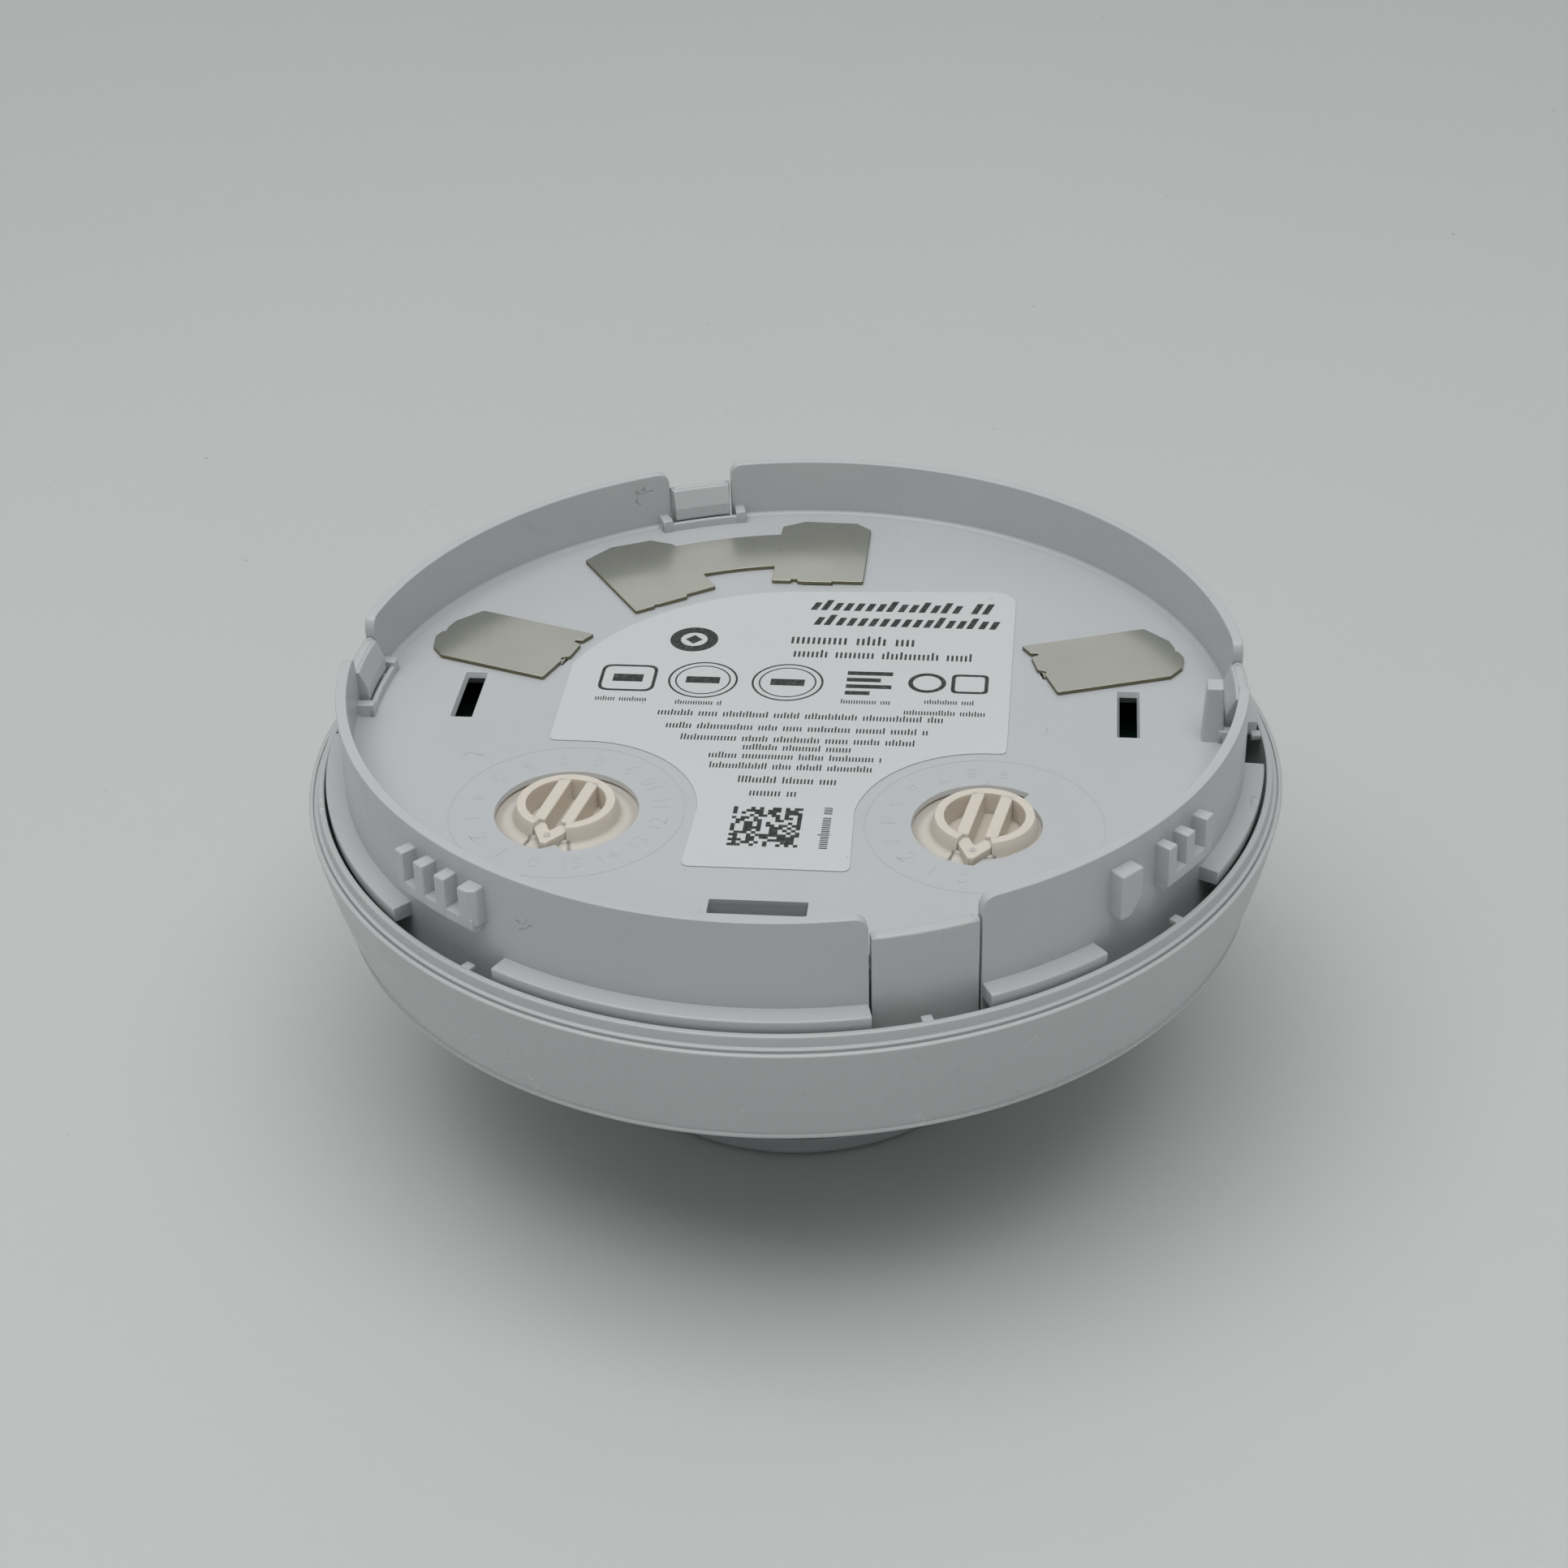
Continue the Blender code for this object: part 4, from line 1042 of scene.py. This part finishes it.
def area_light(name, spot, target, size, power, color):
    """Rectangular lamp at a spot, aimed at a target."""
    light = bpy.data.lights.new(name, "AREA")
    light.shape = "RECTANGLE"
    light.size, light.size_y = size
    light.energy = power
    light.color = color
    obj = bpy.data.objects.new(name, light)
    bpy.context.scene.collection.objects.link(obj)
    obj.location = spot
    obj.visible_camera = False
    obj.rotation_euler = (Vector(target) - Vector(spot)).to_track_quat("-Z", "Y").to_euler()


def make_lights():
    area_light("overhead", (-0.05, -0.20, 0.85), (-0.02, -0.09, 0.0), (1.0, 0.7), 4.8,
               (1.0, 0.99, 0.98))
    area_light("rear", (0.0, 0.95, 0.72), (0.0, 0.0, 0.04), (1.8, 0.9), 1.6, (0.97, 0.985, 1.0))
    world = bpy.data.worlds.new("studio")
    world.use_nodes = True
    background = world.node_tree.nodes["Background"]
    background.inputs["Color"].default_value = (0.96, 0.98, 1.0, 1.0)
    background.inputs["Strength"].default_value = 0.54
    bpy.context.scene.world = world


def make_camera():
    pitch, yaw, roll = (math.radians(a) for a in (CAMERA_PITCH, CAMERA_YAW, CAMERA_ROLL))
    forward = Vector((math.sin(yaw) * math.cos(pitch), math.cos(yaw) * math.cos(pitch),
                      -math.sin(pitch)))
    level = Vector((math.cos(yaw), -math.sin(yaw), 0.0))
    upward = level.cross(forward)
    right = math.cos(roll) * level + math.sin(roll) * upward
    top = math.cos(roll) * upward - math.sin(roll) * level
    turn = Matrix((right, top, -forward)).transposed().to_4x4()
    place = Matrix.Translation((0.0, -CAMERA_DISTANCE * MM, (COLLAR_TOP + CAMERA_RISE) * MM))
    data = bpy.data.cameras.new("camera")
    data.lens = CAMERA_LENS
    data.sensor_width = 36.0
    data.clip_start = 0.01
    camera = bpy.data.objects.new("camera", data)
    bpy.context.scene.collection.objects.link(camera)
    camera.matrix_world = Matrix.Rotation(math.radians(CAMERA_HEADING), 4, "Z") @ place @ turn
    bpy.context.scene.camera = camera


def clear_scene():
    for obj in list(bpy.data.objects):
        bpy.data.objects.remove(obj, do_unlink=True)


def corners(box):
    return [list(corner) for corner in box]


clear_scene()
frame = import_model()
bpy.context.scene.view_settings.view_transform = "Standard"
materials = make_materials()
make_camera()
make_floor()
make_lights()
make_chassis(materials)
make_contacts(materials)
make_label(materials)
for dial in DIALS:
    make_dial(dial, materials)
make_cover(materials)
make_nose(materials)
for tab in TABS:
    make_tab(*tab, materials)
dress_nodes(frame, materials)
